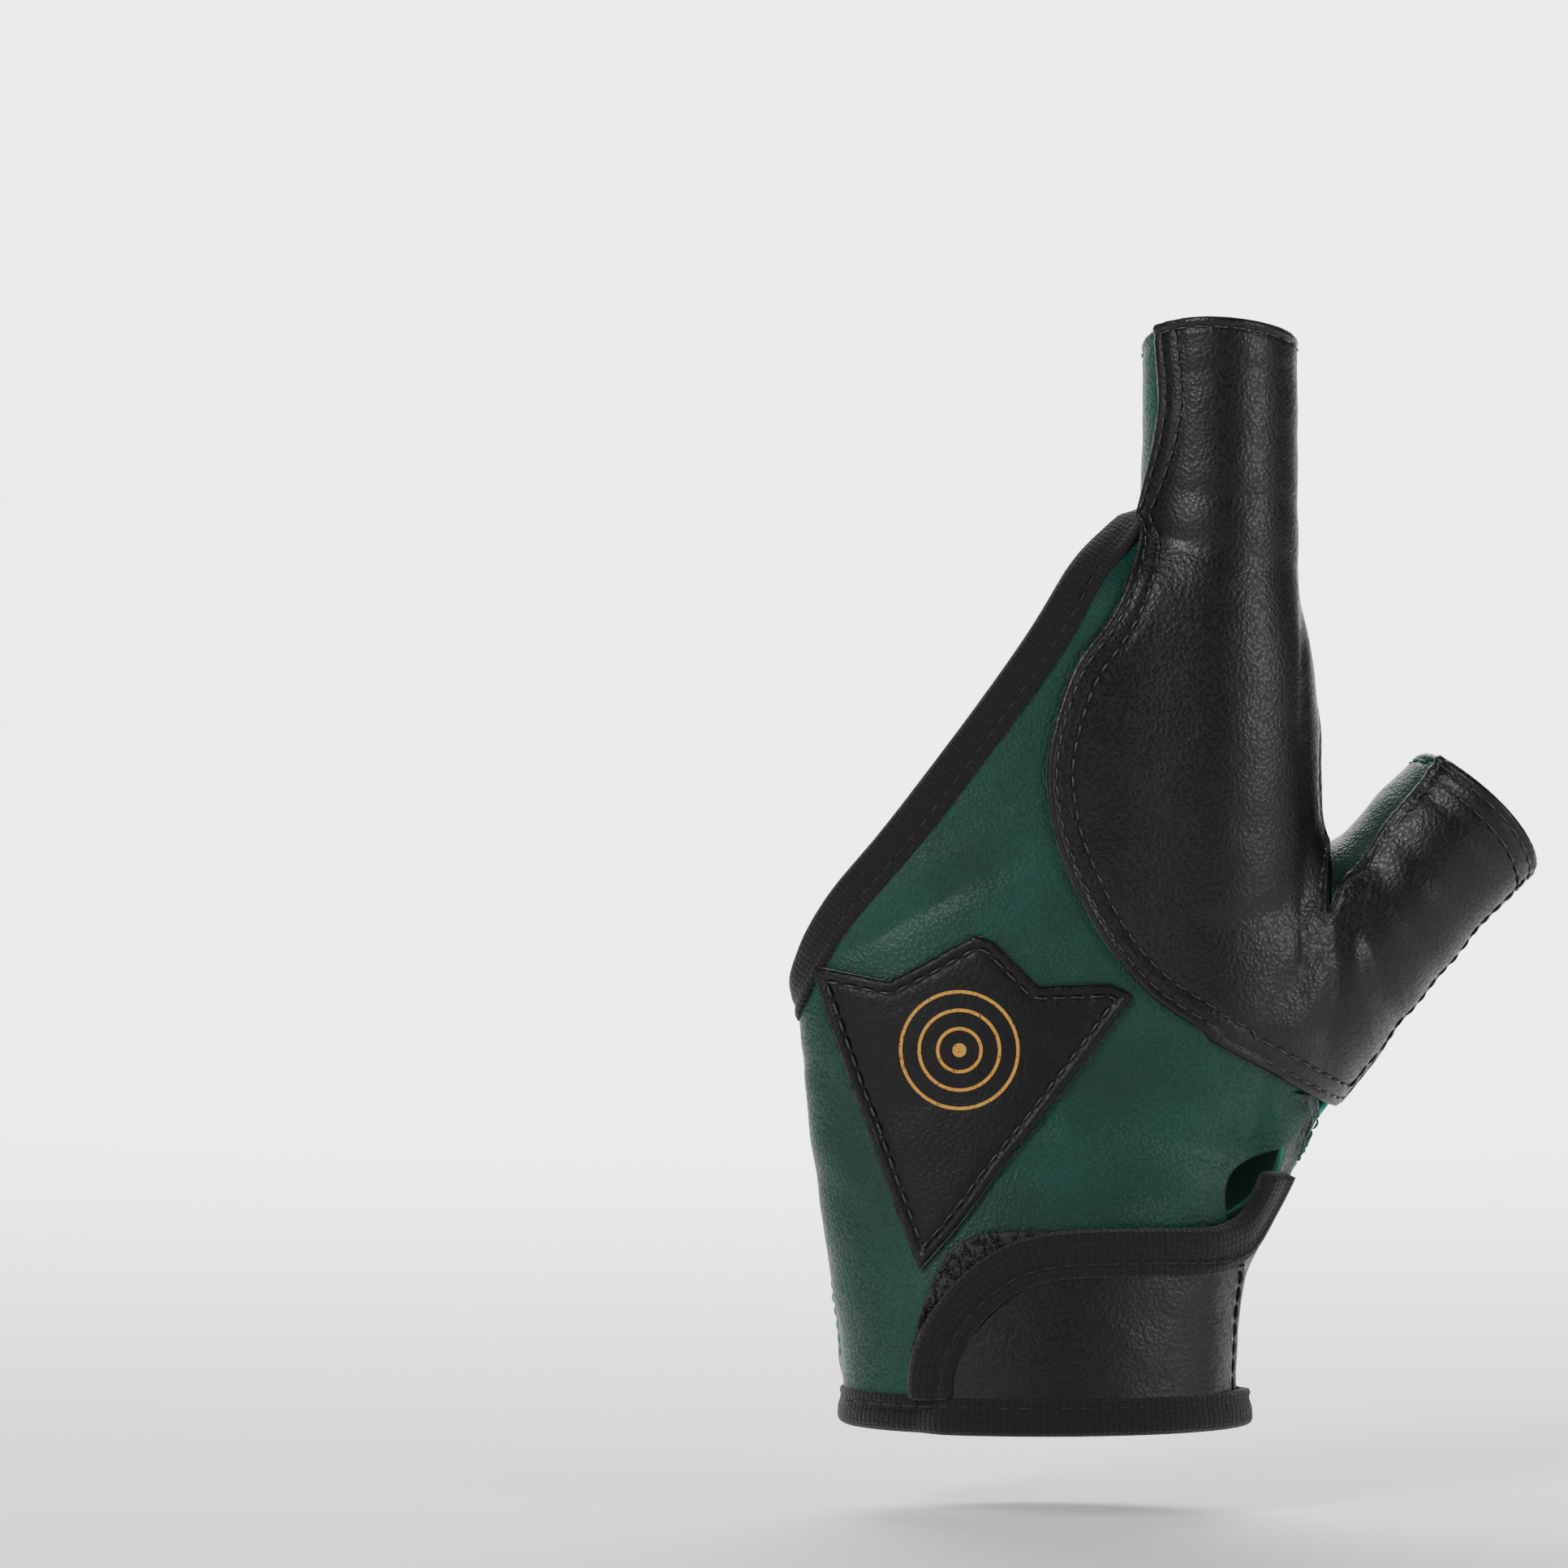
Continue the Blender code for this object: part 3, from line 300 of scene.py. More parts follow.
PALM_SEAM = (
    (HAND, 0.298, 0.062, PALM),
    (HAND, 0.298, 0.350, PALM),
    (HAND, 0.278, 0.364, PALM),
    (HAND, 0.179, 0.401, PALM),
    (HAND, 0.099, 0.491, PALM),
    (HAND, 0.085, 0.568, PALM),
    (HAND, 0.096, 0.672, PALM),
    (HAND, 0.146, 0.796, PALM),
    (HAND, 0.232, 0.942, PALM),
    (HAND, 0.301, 1.019, PALM),
    (FINGER, -0.059, 0.137, PALM),
    (FINGER, -0.014, 0.411, PALM),
    (FINGER, -0.104, 0.685, PALM),
    (FINGER, -0.149, 1.000, PALM),
)
# Right edge of the palm panel below the thumb, up the wrist slit, and above the thumb, under the facing
PALM_LOW_RIGHT = (
    (HAND, 0.328, 0.062, BACK),
    (HAND, 0.338, 0.220, BACK),
    (HAND, 0.375, 0.300, BACK),
    (HAND, 0.405, 0.340, BACK),
    (HAND, 0.440, 0.400, BACK),
    (HAND, 0.455, 0.450, BACK),
    (HAND, 0.460, 0.500, BACK),
    (HAND, 0.466, 0.540, BACK),
)
EAR_EDGE = (
    (HAND, 0.278, 0.364, PALM),
    (HAND, 0.361, 0.370, PALM),
    (HAND, 0.420, 0.401, PALM),
    (HAND, 0.495, 0.440, 12),
    (HAND, 0.505, 0.470, 2),
    (HAND, 0.535, 0.500, BACK),
    (HAND, 0.520, 0.540, BACK),
)
PALM_HIGH_RIGHT = (
    (HAND, 0.530, 0.985, 4),
    (HAND, 0.520, 1.019, -12),
    (HAND, 0.500, 1.080, -14),
    (FINGER, 0.617, 0.200, -12),
    (FINGER, 0.600, 0.300, 4),
    (FINGER, 0.400, 0.401, 12),
    (FINGER, 0.350, 0.542, 26),
    (FINGER, 0.300, 0.671, 34),
    (FINGER, 0.200, 0.822, 44),
    (FINGER, 0.180, 1.000, 48),
)
TONGUE_LEFT = (
    (HAND, 0.362, 0.802, PALM),
    (HAND, 0.340, 0.880, PALM),
    (HAND, 0.318, 0.950, PALM),
    (HAND, 0.301, 1.019, PALM),
)
TONGUE_RIGHT = (
    (HAND, 0.372, 0.802, PALM),
    (HAND, 0.440, 0.850, PALM),
    (HAND, 0.505, 0.905, PALM),
    (HAND, 0.530, 0.950, PALM),
    (HAND, 0.530, 0.975, 8),
    (HAND, 0.520, 1.019, -12),
)
# The thumb piece's rows from the thumb's lower side over the palm side to its upper ridge
THUMB_ROWS = (
    ((HAND, 0.238, 0.330, PALM), (HAND, 0.286, 1.050, PALM)),
    ((HAND, 0.360, 0.330, PALM), (HAND, 0.345, 1.035, PALM)),
    ((HAND, 0.440, 0.385, PALM), (HAND, 0.405, 1.000, PALM)),
    ((HAND, 0.500, 0.465, 174), (HAND, 0.476, 0.968, PALM)),
    ((THUMB, 0.104, -0.760, 178), (HAND, 0.531, 0.950, 20)),
    ((THUMB, 0.160, -0.780, 182), (HAND, 0.550, 0.975, 6)),
    ((THUMB, 0.345, -0.740, 192), (HAND, 0.575, 0.972, 4)),
    ((THUMB, 0.520, -0.660, 192), (HAND, 0.599, 0.980, 4)),
    ((THUMB, 0.674, -0.590, 192), (HAND, 0.625, 0.990, 4)),
    ((THUMB, 0.840, -0.520, 192), (THUMB, 0.840, 0.600, 4)),
    ((THUMB, 1.000, -0.510, 192), (THUMB, 1.000, 0.577, 4)),
)
# The turn that the piece reaches on the thumb's back beyond the ridge, and the rows' bows and sinks
THUMB_FLAP = (20.0, 20.0, 20.0, 20.0, 20.0, -95.0, -86.0, -74.0, -72.0, -68.0, -60.0)
THUMB_BOWS = (0.170, 0.110, 0.050, 0.020, 0.0, 0.0, 0.0, 0.0, 0.0, 0.0, 0.0)
THUMB_SINKS = (0.45, 0.45, 0.35, 0.20, 0.05, 0.0, 0.0, 0.0, 0.0, 0.0, 0.0)
# The facing's rows from its outer edge over the back to its inner edge
FACING_ROWS = (
    ((FINGER, -0.405, 1.000, BACK), (FINGER, 0.207, 1.000, PALM)),
    ((FINGER, -0.383, 0.826, BACK), (FINGER, 0.230, 0.826, PALM)),
    ((FINGER, -0.473, 0.673, BACK), (FINGER, 0.347, 0.673, PALM)),
    ((FINGER, -0.570, 0.542, BACK), (FINGER, 0.405, 0.542, PALM)),
    ((HAND, 0.130, 1.293, BACK), (FINGER, 0.464, 0.401, PALM)),
    ((HAND, 0.058, 1.207, BACK), (FINGER, 0.560, 0.284, PALM)),
    ((HAND, 0.021, 1.121, BACK), (FINGER, 0.600, 0.166, 0)),
    ((HAND, 0.006, 1.044, BACK), (HAND, 0.523, 1.032, -4)),
    ((HAND, 0.012, 0.980, BACK), (HAND, 0.537, 0.950, BACK)),
    ((HAND, 0.026, 0.930, BACK), (HAND, 0.536, 0.880, BACK)),
    ((HAND, 0.062, 0.855, BACK), (HAND, 0.535, 0.835, BACK)),
    ((HAND, 0.119, 0.769, BACK), (HAND, 0.535, 0.822, BACK)),
    ((HAND, 0.201, 0.692, BACK), (HAND, 0.536, 0.819, BACK)),
    ((HAND, 0.304, 0.632, BACK), (HAND, 0.538, 0.820, BACK)),
    ((HAND, 0.405, 0.581, BACK), (HAND, 0.543, 0.826, BACK)),
    ((HAND, 0.480, 0.545, BACK), (HAND, 0.550, 0.838, BACK)),
    ((THUMB, 0.190, -0.700, BACK), (HAND, 0.565, 0.862, BACK)),
    ((THUMB, 0.300, -0.740, -184), (THUMB, 0.639, 0.368, BACK)),
    ((THUMB, 0.480, -0.671, -190), (THUMB, 0.700, 0.380, BACK)),
    ((THUMB, 0.654, -0.597, -190), (THUMB, 0.780, 0.430, BACK)),
    ((THUMB, 0.837, -0.541, -190), (THUMB, 0.870, 0.455, BACK)),
    ((THUMB, 1.000, -0.510, -190), (THUMB, 1.000, 0.500, BACK)),
)
# Middle line of the band round the finger opening, once round on level rows
OPENING = (
    (FINGER, -0.554, 0.625, -180),
    (HAND, 0.100, 1.375, BACK),
    (HAND, 0.026, 1.274, BACK),
    (HAND, -0.095, 1.128, BACK),
    (HAND, -0.187, 1.025, BACK),
    (HAND, -0.280, 0.923, BACK),
    (HAND, -0.382, 0.819, BACK),
    (HAND, -0.425, 0.755, BACK),
    (HAND, -0.440, 0.668, -180),
    (HAND, -0.369, 0.701, PALM),
    (HAND, -0.250, 0.779, PALM),
    (HAND, -0.137, 0.855, PALM),
    (HAND, -0.023, 0.940, PALM),
    (HAND, 0.065, 1.026, PALM),
    (HAND, 0.135, 1.106, PALM),
    (HAND, 0.182, 1.195, PALM),
    (FINGER, -0.480, 0.411, PALM),
    (FINGER, -0.500, 0.531, PALM),
)
# Arrowhead patch: place across in breadths, lower and upper edge in palm lengths
PATCH = table(
    "place low high",
    (-0.414, 0.716, 0.735),
    (-0.350, 0.552, 0.724),
    (-0.282, 0.389, 0.712),
    (-0.224, 0.258, 0.738),
    (-0.170, 0.312, 0.765),
    (-0.126, 0.360, 0.785),
    (-0.092, 0.402, 0.777),
    (-0.010, 0.491, 0.705),
    (0.060, 0.570, 0.707),
    (0.125, 0.645, 0.709),
    (0.163, 0.684, 0.695),
)
# Closure tab: place across in breadths, upper edge in palm lengths
TAB_TOP = table(
    "place top",
    (-0.160, 0.080),
    (-0.152, 0.108),
    (-0.115, 0.158),
    (-0.065, 0.205),
    (-0.005, 0.236),
    (0.100, 0.242),
    (0.260, 0.244),
    (0.354, 0.250),
)
# Middle line of the tab's band, from the hem round its free end to the top of the wrist slit
TAB_BAND = (
    (HAND, -0.196, 0.045, BACK),
    (HAND, -0.198, 0.075, BACK),
    (HAND, -0.199, 0.105, BACK),
    (HAND, -0.189, 0.130, BACK),
    (HAND, -0.161, 0.178, BACK),
    (HAND, -0.111, 0.228, BACK),
    (HAND, -0.050, 0.266, BACK),
    (HAND, 0.040, 0.283, BACK),
    (HAND, 0.170, 0.286, BACK),
    (HAND, 0.300, 0.289, BACK),
    (HAND, 0.370, 0.306, BACK),
    (HAND, 0.405, 0.360, BACK),
    (HAND, 0.428, 0.425, BACK),
)
# Pile strip: place across in breadths, lower and upper edge in palm lengths
PILE = table(
    "place low high",
    (-0.236, 0.072, 0.110),
    (-0.222, 0.072, 0.180),
    (-0.195, 0.072, 0.250),
    (-0.155, 0.072, 0.296),
    (-0.100, 0.072, 0.318),
    (0.000, 0.072, 0.322),
    (0.150, 0.072, 0.322),
    (0.255, 0.072, 0.322),
)


# Gathers of the elastic wrist
GATHER_PITCH = 5.5 * MM
GATHER_HEIGHT = 2.2 * MM
# Creases of wear in millimetres: two ends in the front view, side (-1 back, 1 palm), height and half width
CREASES = (
    (39.7, 174, 39.9, 112, -1, -0.40, 0.55),
    (39.9, 112, 40.6, 74, -1, -0.25, 0.70),
    (46, 80, 33, 62, -1, -0.40, 2.2),
    (47, 78, 44, 58, -1, -0.50, 1.9),
    (50, 80, 56, 66, -1, -0.40, 1.8),
    (43, 84, 27, 80, -1, -0.30, 2.5),
    (49, 76, 51, 62, -1, 0.35, 2.2),
    (20, 141, 40, 136, -1, -0.22, 2.6),
    (21, 149, 40, 146, -1, -0.20, 2.0),
    (24, 167.5, 38, 168.2, -1, -0.20, 0.8),
    (25, 165.2, 38, 165.8, -1, -0.16, 0.7),
    (62, 101, 73, 90, -1, -0.28, 1.5),
    (58, 93, 68, 80, -1, -0.25, 2.0),
    (54, 88, 62, 73, -1, -0.22, 2.0),
    (-24, 80, -4, 91, -1, -0.40, 2.4),
    (-28, 84, 0, 98, -1, 0.25, 3.0),
    (-30, 76, -14, 85, -1, -0.32, 1.5),
    (8, 72, 30, 60, -1, 0.35, 4.0),
    (2, 53, 30, 44, -1, -0.55, 2.8),
    (4, 46.5, 28, 40, -1, 0.50, 2.8),
    (-2, 60, 20, 54, -1, -0.30, 2.4),
    (-6, 42, 20, 37, -1, -0.45, 2.2),
    (10, 34, 28, 38, -1, 0.40, 3.0),
    (14, 57, 34, 52, -1, 0.35, 2.4),
    (35.2, 57, 33.4, 44, -1, -0.60, 1.2),
    (-36, 58, -26, 48, -1, -0.25, 2.0),
    (-34, 40, -24, 30, -1, -0.25, 2.0),
    (8, 120, 17, 142, -1, -0.20, 2.0),
    (34, 85, 46, 70, 1, -0.45, 2.4),
    (40, 89, 52, 76, 1, -0.45, 2.0),
    (46, 91, 58, 80, 1, -0.32, 2.0),
    (30, 76, 38, 62, 1, 0.35, 4.0),
    (20, 150, 40, 146, 1, -0.32, 1.5),
    (22, 154, 38, 151, 1, -0.24, 1.2),
    (26, 160, 40, 164, 1, -0.26, 1.2),
    (32, 112, 44, 98, 1, -0.45, 2.8),
    (36, 117, 44, 106, 1, -0.32, 2.0),
    (-30, 44, -8, 34, 1, -0.45, 3.0),
    (-26, 52, -6, 44, 1, 0.30, 4.0),
    (8, 58, 4, 40, 1, -0.40, 3.0),
)


@dataclass(frozen=True)
class HandForm:
    """Surface of the gloved hand, from the sizes of its palm, index finger and thumb."""

    breadth: float = 84 * MM
    depth: float = 29 * MM
    wrist_width: float = 60.6 * MM
    wrist_depth: float = 41 * MM
    palm_length: float = 100 * MM
    finger_place: float = 28.3 * MM
    finger_width: float = 22.2 * MM
    finger_depth: float = 20.6 * MM
    finger_length: float = 73 * MM
    thumb_place: float = 28 * MM
    thumb_height: float = 56 * MM
    thumb_angle: float = math.radians(43)
    thumb_length: float = 59.5 * MM
    thumb_width: float = 23.2 * MM
    thumb_depth: float = 21 * MM
    finger_fillet: float = 9 * MM
    thumb_fillet: float = 12 * MM
    end_slant: float = 3.2 * MM

    @property
    def top(self) -> float:
        """Height of the index sleeve's end."""
        return self.palm_length + self.finger_length

    def thumb_axes(self) -> tuple[np.ndarray, np.ndarray, np.ndarray]:
        """Return the thumb's root and the directions along and across it, in X and Z."""
        cos, sin = math.cos(self.thumb_angle), math.sin(self.thumb_angle)
        root = np.array([self.thumb_place, self.thumb_height])
        return root, np.array([cos, sin]), np.array([-sin, cos])

    def dents(self, x: np.ndarray, y: np.ndarray, z: np.ndarray) -> np.ndarray:
        """Return the height of the broad folds: a Gaussian ridge or valley along each fold's segment."""
        total = np.zeros(np.broadcast(x, y, z).shape)
        for x1, z1, x2, z2, side, height, width in zip(*FOLDS.values()):
            ends = (x1 * self.breadth, z1 * self.palm_length, x2 * self.breadth, z2 * self.palm_length)
            away = off_segment(x, z, ends)
            facing = step_up(y * side, 0.0, 0.15 * self.depth)
            bump = np.exp(-((away / (width * self.palm_length)) ** 2))
            total = total + height * self.palm_length * bump * facing
        return total

    def distance(self, points: np.ndarray) -> np.ndarray:
        """Return the distance outside the hand: the fillet union of three elliptic tubes, less the folds.

        Args:
            points: any array of points.

        Returns:
            Distances, negative inside, nearly true close to the surface.
        """
        x, y, z = points[..., 0], points[..., 1], points[..., 2]
        height = z / self.palm_length
        width = mix(self.wrist_width, self.breadth, read(PALM_SECTIONS, "spread", height)) / 2
        depth = mix(self.wrist_depth, self.depth, read(PALM_SECTIONS, "flat", height)) / 2
        width = np.maximum(width, 0.05 * self.breadth)
        depth = np.maximum(depth, 0.05 * self.depth)
        middle = read(PALM_SECTIONS, "middle", height) * self.breadth
        rise = read(PALM_SECTIONS, "rise", height) * self.depth
        closed = 5.5 * np.maximum(height - 1.31, 0) ** 2 * self.palm_length
        palm = outside(x - middle, y - rise, width, depth) + closed

        height = (z - self.palm_length) / self.finger_length
        across = x - self.finger_place - read(FINGER_SECTIONS, "middle", height) * self.finger_width
        out = y - read(FINGER_SECTIONS, "rise", height) * self.finger_depth
        width = read(FINGER_SECTIONS, "width", height) * self.finger_width / 2
        depth = read(FINGER_SECTIONS, "depth", height) * self.finger_depth / 2
        closed = np.maximum(-0.5 - height, 0) * self.finger_length
        finger = outside(across, out, width, depth) + closed

        root, along, across = self.thumb_axes()
        reach = ((x - root[0]) * along[0] + (z - root[1]) * along[1]) / self.thumb_length
        aside = (x - root[0]) * across[0] + (z - root[1]) * across[1]
        aside = aside - read(THUMB_SECTIONS, "middle", reach) * self.thumb_width
        out = y - read(THUMB_SECTIONS, "rise", reach) * self.thumb_depth
        width = read(THUMB_SECTIONS, "width", reach) * self.thumb_width / 2
        depth = read(THUMB_SECTIONS, "depth", reach) * self.thumb_depth / 2
        closed = np.maximum(-0.6 - reach, 0) * self.thumb_length
        thumb = outside(aside, out, width, depth) + closed
        hand = blended(blended(palm, finger, self.finger_fillet), thumb, self.thumb_fillet)
        return hand - self.dents(x, y, z)

    def normals(self, points: np.ndarray) -> np.ndarray:
        """Return outward unit normals: the distance's central differences."""
        span = 2e-5
        slopes = [self.distance(points + axis) - self.distance(points - axis) for axis in np.eye(3) * span]
        return unit(np.stack(slopes, axis=-1))

    def settle(self, points: np.ndarray) -> np.ndarray:
        """Return the points moved onto the form, by four steps down the distance along the normal."""
        for _ in range(4):
            points = points - self.distance(points)[..., None] * self.normals(points)
        return points

    def cast(self, origins: np.ndarray, directions: np.ndarray) -> np.ndarray:
        """Return where rays from inside first leave the form: by even steps, then by halving the last one.

        Args:
            origins: start of each ray, inside.
            directions: unit direction of each ray.

        Returns:
            One point for each ray.
        """
        origins, directions = np.broadcast_arrays(origins, directions)
        stride = 0.03 * self.breadth
        steps = np.arange(1, 34) * stride
        values = np.stack([self.distance(origins + directions * s) for s in steps])
        left_it = values > 0
        first = np.where(left_it.any(axis=0), np.argmax(left_it, axis=0), len(steps) - 1)
        high = steps[first]
        low = high - stride
        for _ in range(16):
            middle = (low + high) / 2
            beyond = self.distance(origins + directions * middle[..., None]) > 0
            high = np.where(beyond, middle, high)
            low = np.where(beyond, low, middle)
        return origins + directions * high[..., None]

    def mid_depth(self, x: np.ndarray, z: np.ndarray) -> np.ndarray:
        """Return the depth at which the form is thickest behind points of the front view."""
        depths = np.linspace(-0.7, 0.9, 49) * self.wrist_depth / 2
        x, z = np.broadcast_arrays(x, z)
        points = np.stack(np.broadcast_arrays(x[..., None], depths, z[..., None]), axis=-1)
        return depths[np.argmin(self.distance(points), axis=-1)]

    def spot(self, zone: Zone, one: float, two: float) -> tuple[float, float]:
        """Return X and Z of a point given in shares of a zone's sizes."""
        if zone is HAND:
            return one * self.breadth, two * self.palm_length
        if zone is FINGER:
            return self.finger_place + one * self.finger_width, self.palm_length + two * self.finger_length
        root, along, across = self.thumb_axes()
        x, z = root + along * one * self.thumb_length + across * two * self.thumb_width
        return float(x), float(z)

    def find_turn(self, spine: np.ndarray, tilt: float, x: float, z: float, side: Side | float) -> float:
        """Return the turn round a spine point at which the form passes a point of the front view.

        Args:
            spine: point inside the form.
            tilt: how far the row's across direction tilts up from X.
            x: the wanted place.
            z: the wanted height.
            side: the side of the hand, or the turn itself in degrees.

        Returns:
            The turn in radians, negative on the back of the hand.
        """
        if not isinstance(side, Side):
            return math.radians(side)
        one = (np.array([value], float) for value in (tilt, x, z, side.value))
        return float(self.find_turns(spine[None, :], *one)[0])

    def find_turns(
        self, spines: np.ndarray, tilts: np.ndarray, x: np.ndarray, z: np.ndarray, signs: np.ndarray
    ) -> np.ndarray:
        """Return the turns round many spine points at which the form passes points of the front view.

        Rays go out every two degrees; the turn is where their reach across falls to the wanted one.

        Args:
            spines: points inside the form.
            tilts: tilt of each row.
            x: the wanted places.
            z: the wanted heights.
            signs: side of the hand, -1 back and 1 palm.

        Returns:
            One turn for each row.
        """
        turns = np.radians(np.arange(0, 181, 2.0)) * signs[:, None]
        hits = self.cast(spines[:, None, :], direction(tilts[:, None], turns)) - spines[:, None, :]
        cos, sin = np.cos(tilts), np.sin(tilts)
        across = np.minimum.accumulate(hits[..., 0] * cos[:, None] + hits[..., 2] * sin[:, None], axis=1)
        wanted = (x - spines[:, 0]) * cos + (z - spines[:, 2]) * sin
        return np.array([np.interp(-w, -a, t) for w, a, t in zip(wanted, across, turns)])

    def turns_along(
        self, at: np.ndarray, run: np.ndarray, sides: list, known: np.ndarray, rows: tuple
    ) -> np.ndarray:
        """Return an edge's turns on many rows.

        Between two keys on the same side of the hand the turn is found from the edge's place in the front
        view; between others it is a smooth curve through the keys' turns.

        Args:
            at: each row's place along the keys.
            run: the keys' places.
            sides: the keys' sides.
            known: the keys' turns.
            rows: each row's middle, tilt, and the edge's X and Z.

        Returns:
            One turn for each row.
        """
        turns = smooth(at, run, known)
        spines, tilts, x, z = rows
        signs = np.array([side.value if isinstance(side, Side) else 0 for side in sides])
        k = np.clip(np.searchsorted(run, at, side="right") - 1, 0, len(run) - 2)
        exact = (signs[k] == signs[k + 1]) & (signs[k] != 0)
        if exact.any():
            turns[exact] = self.find_turns(spines[exact], tilts[exact], x[exact], z[exact], signs[k][exact])
        return turns

    def level_spine(self, heights: np.ndarray) -> np.ndarray:
        """Return points on the middle line that the level rows turn round."""
        x = read(LEVEL_SPINE, "place", heights / self.palm_length) * self.breadth
        return np.stack([x, self.mid_depth(x, heights), heights], axis=-1)

    def level_edge(self, rows: tuple[Spot, ...]) -> Edge:
        """Return an edge on level rows, as a function from heights to turns."""
        spots = np.array([self.spot(*row[:3]) for row in rows])
        sides = [row[3] for row in rows]
        spines = self.level_spine(spots[:, 1])
        known = np.array([self.find_turn(m, 0.0, x, z, s) for m, (x, z), s in zip(spines, spots, sides)])
        hits = self.on_level_rows(spots[:, 1], known)

        def turns(at: np.ndarray) -> np.ndarray:
            """Return the edge's turns at heights, held level beyond its ends."""
            at = np.clip(at, spots[0, 1], spots[-1, 1])
            x = rounded(at, spots[:, 1], hits[:, 0])
            return self.turns_along(at, spots[:, 1], sides, known, (self.level_spine(at), 0 * at, x, at))

        return turns

    def rise_of_end(self, heights: np.ndarray, turns: np.ndarray) -> np.ndarray:
        """Return the rise of the index sleeve's end at the back and its fall at the palm."""
        share = step_up(heights, self.palm_length + 0.65 * self.finger_length, self.top)
        return -self.end_slant * share * np.sin(turns)

    def on_level_rows(self, heights: np.ndarray, turns: np.ndarray) -> np.ndarray:
        """Return points of the form at heights and turns round the level spine, one row for each height."""
        origins = self.level_spine(heights)
        if turns.ndim == 2:
            origins = np.repeat(origins[:, None, :], turns.shape[1], axis=1)
            heights = heights[:, None]
        origins = origins + self.rise_of_end(heights, turns)[..., None] * np.array([0.0, 0.0, 1.0])
        return self.cast(origins, direction(np.zeros_like(turns), turns))


def direction(tilt: np.ndarray, turn: np.ndarray) -> np.ndarray:
    """Return (cos tilt cos turn, sin turn, sin tilt cos turn): a turn in the tilted row plane."""
    x = np.cos(tilt) * np.cos(turn)
    z = np.sin(tilt) * np.cos(turn)
    y = np.sin(turn) + 0 * tilt
    return np.stack(np.broadcast_arrays(x, y, z), axis=-1)


def lined_up(length: float, count: int) -> np.ndarray:
    """Return places from 0 to a length that lie close together near both ends.

    Args:
        length: the last place.
        count: number of spaces between the close ends.

    Returns:
        Rising places; evenly spread where the length is too short for the close ends.
    """
    edge = EDGE_STEPS
    total = count + 2 * (len(edge) - 1)
    if length < 2.6 * edge[-1]:
        return np.linspace(0, length, total + 1)
    inner = np.linspace(edge[-1], length - edge[-1], count + 1)
    return np.concatenate([edge[:-1], inner, (length - edge[:-1])[::-1]])


def rows_between(low: float, high: float, step: float, ends: str = "") -> np.ndarray:
    """Return heights about a step apart, with close rows at the "low" or "high" end where ends names it."""
    rows = [np.linspace(low, high, max(2, round((high - low) / step)) + 1)]
    if "low" in ends:
        rows.append(low + EDGE_STEPS)
    if "high" in ends:
        rows.append(high - EDGE_STEPS)
    merged = np.unique(np.concatenate(rows))
    keep = np.concatenate([[True], np.diff(merged) > 0.12 * MM])
    keep[-1] = True
    return merged[keep]


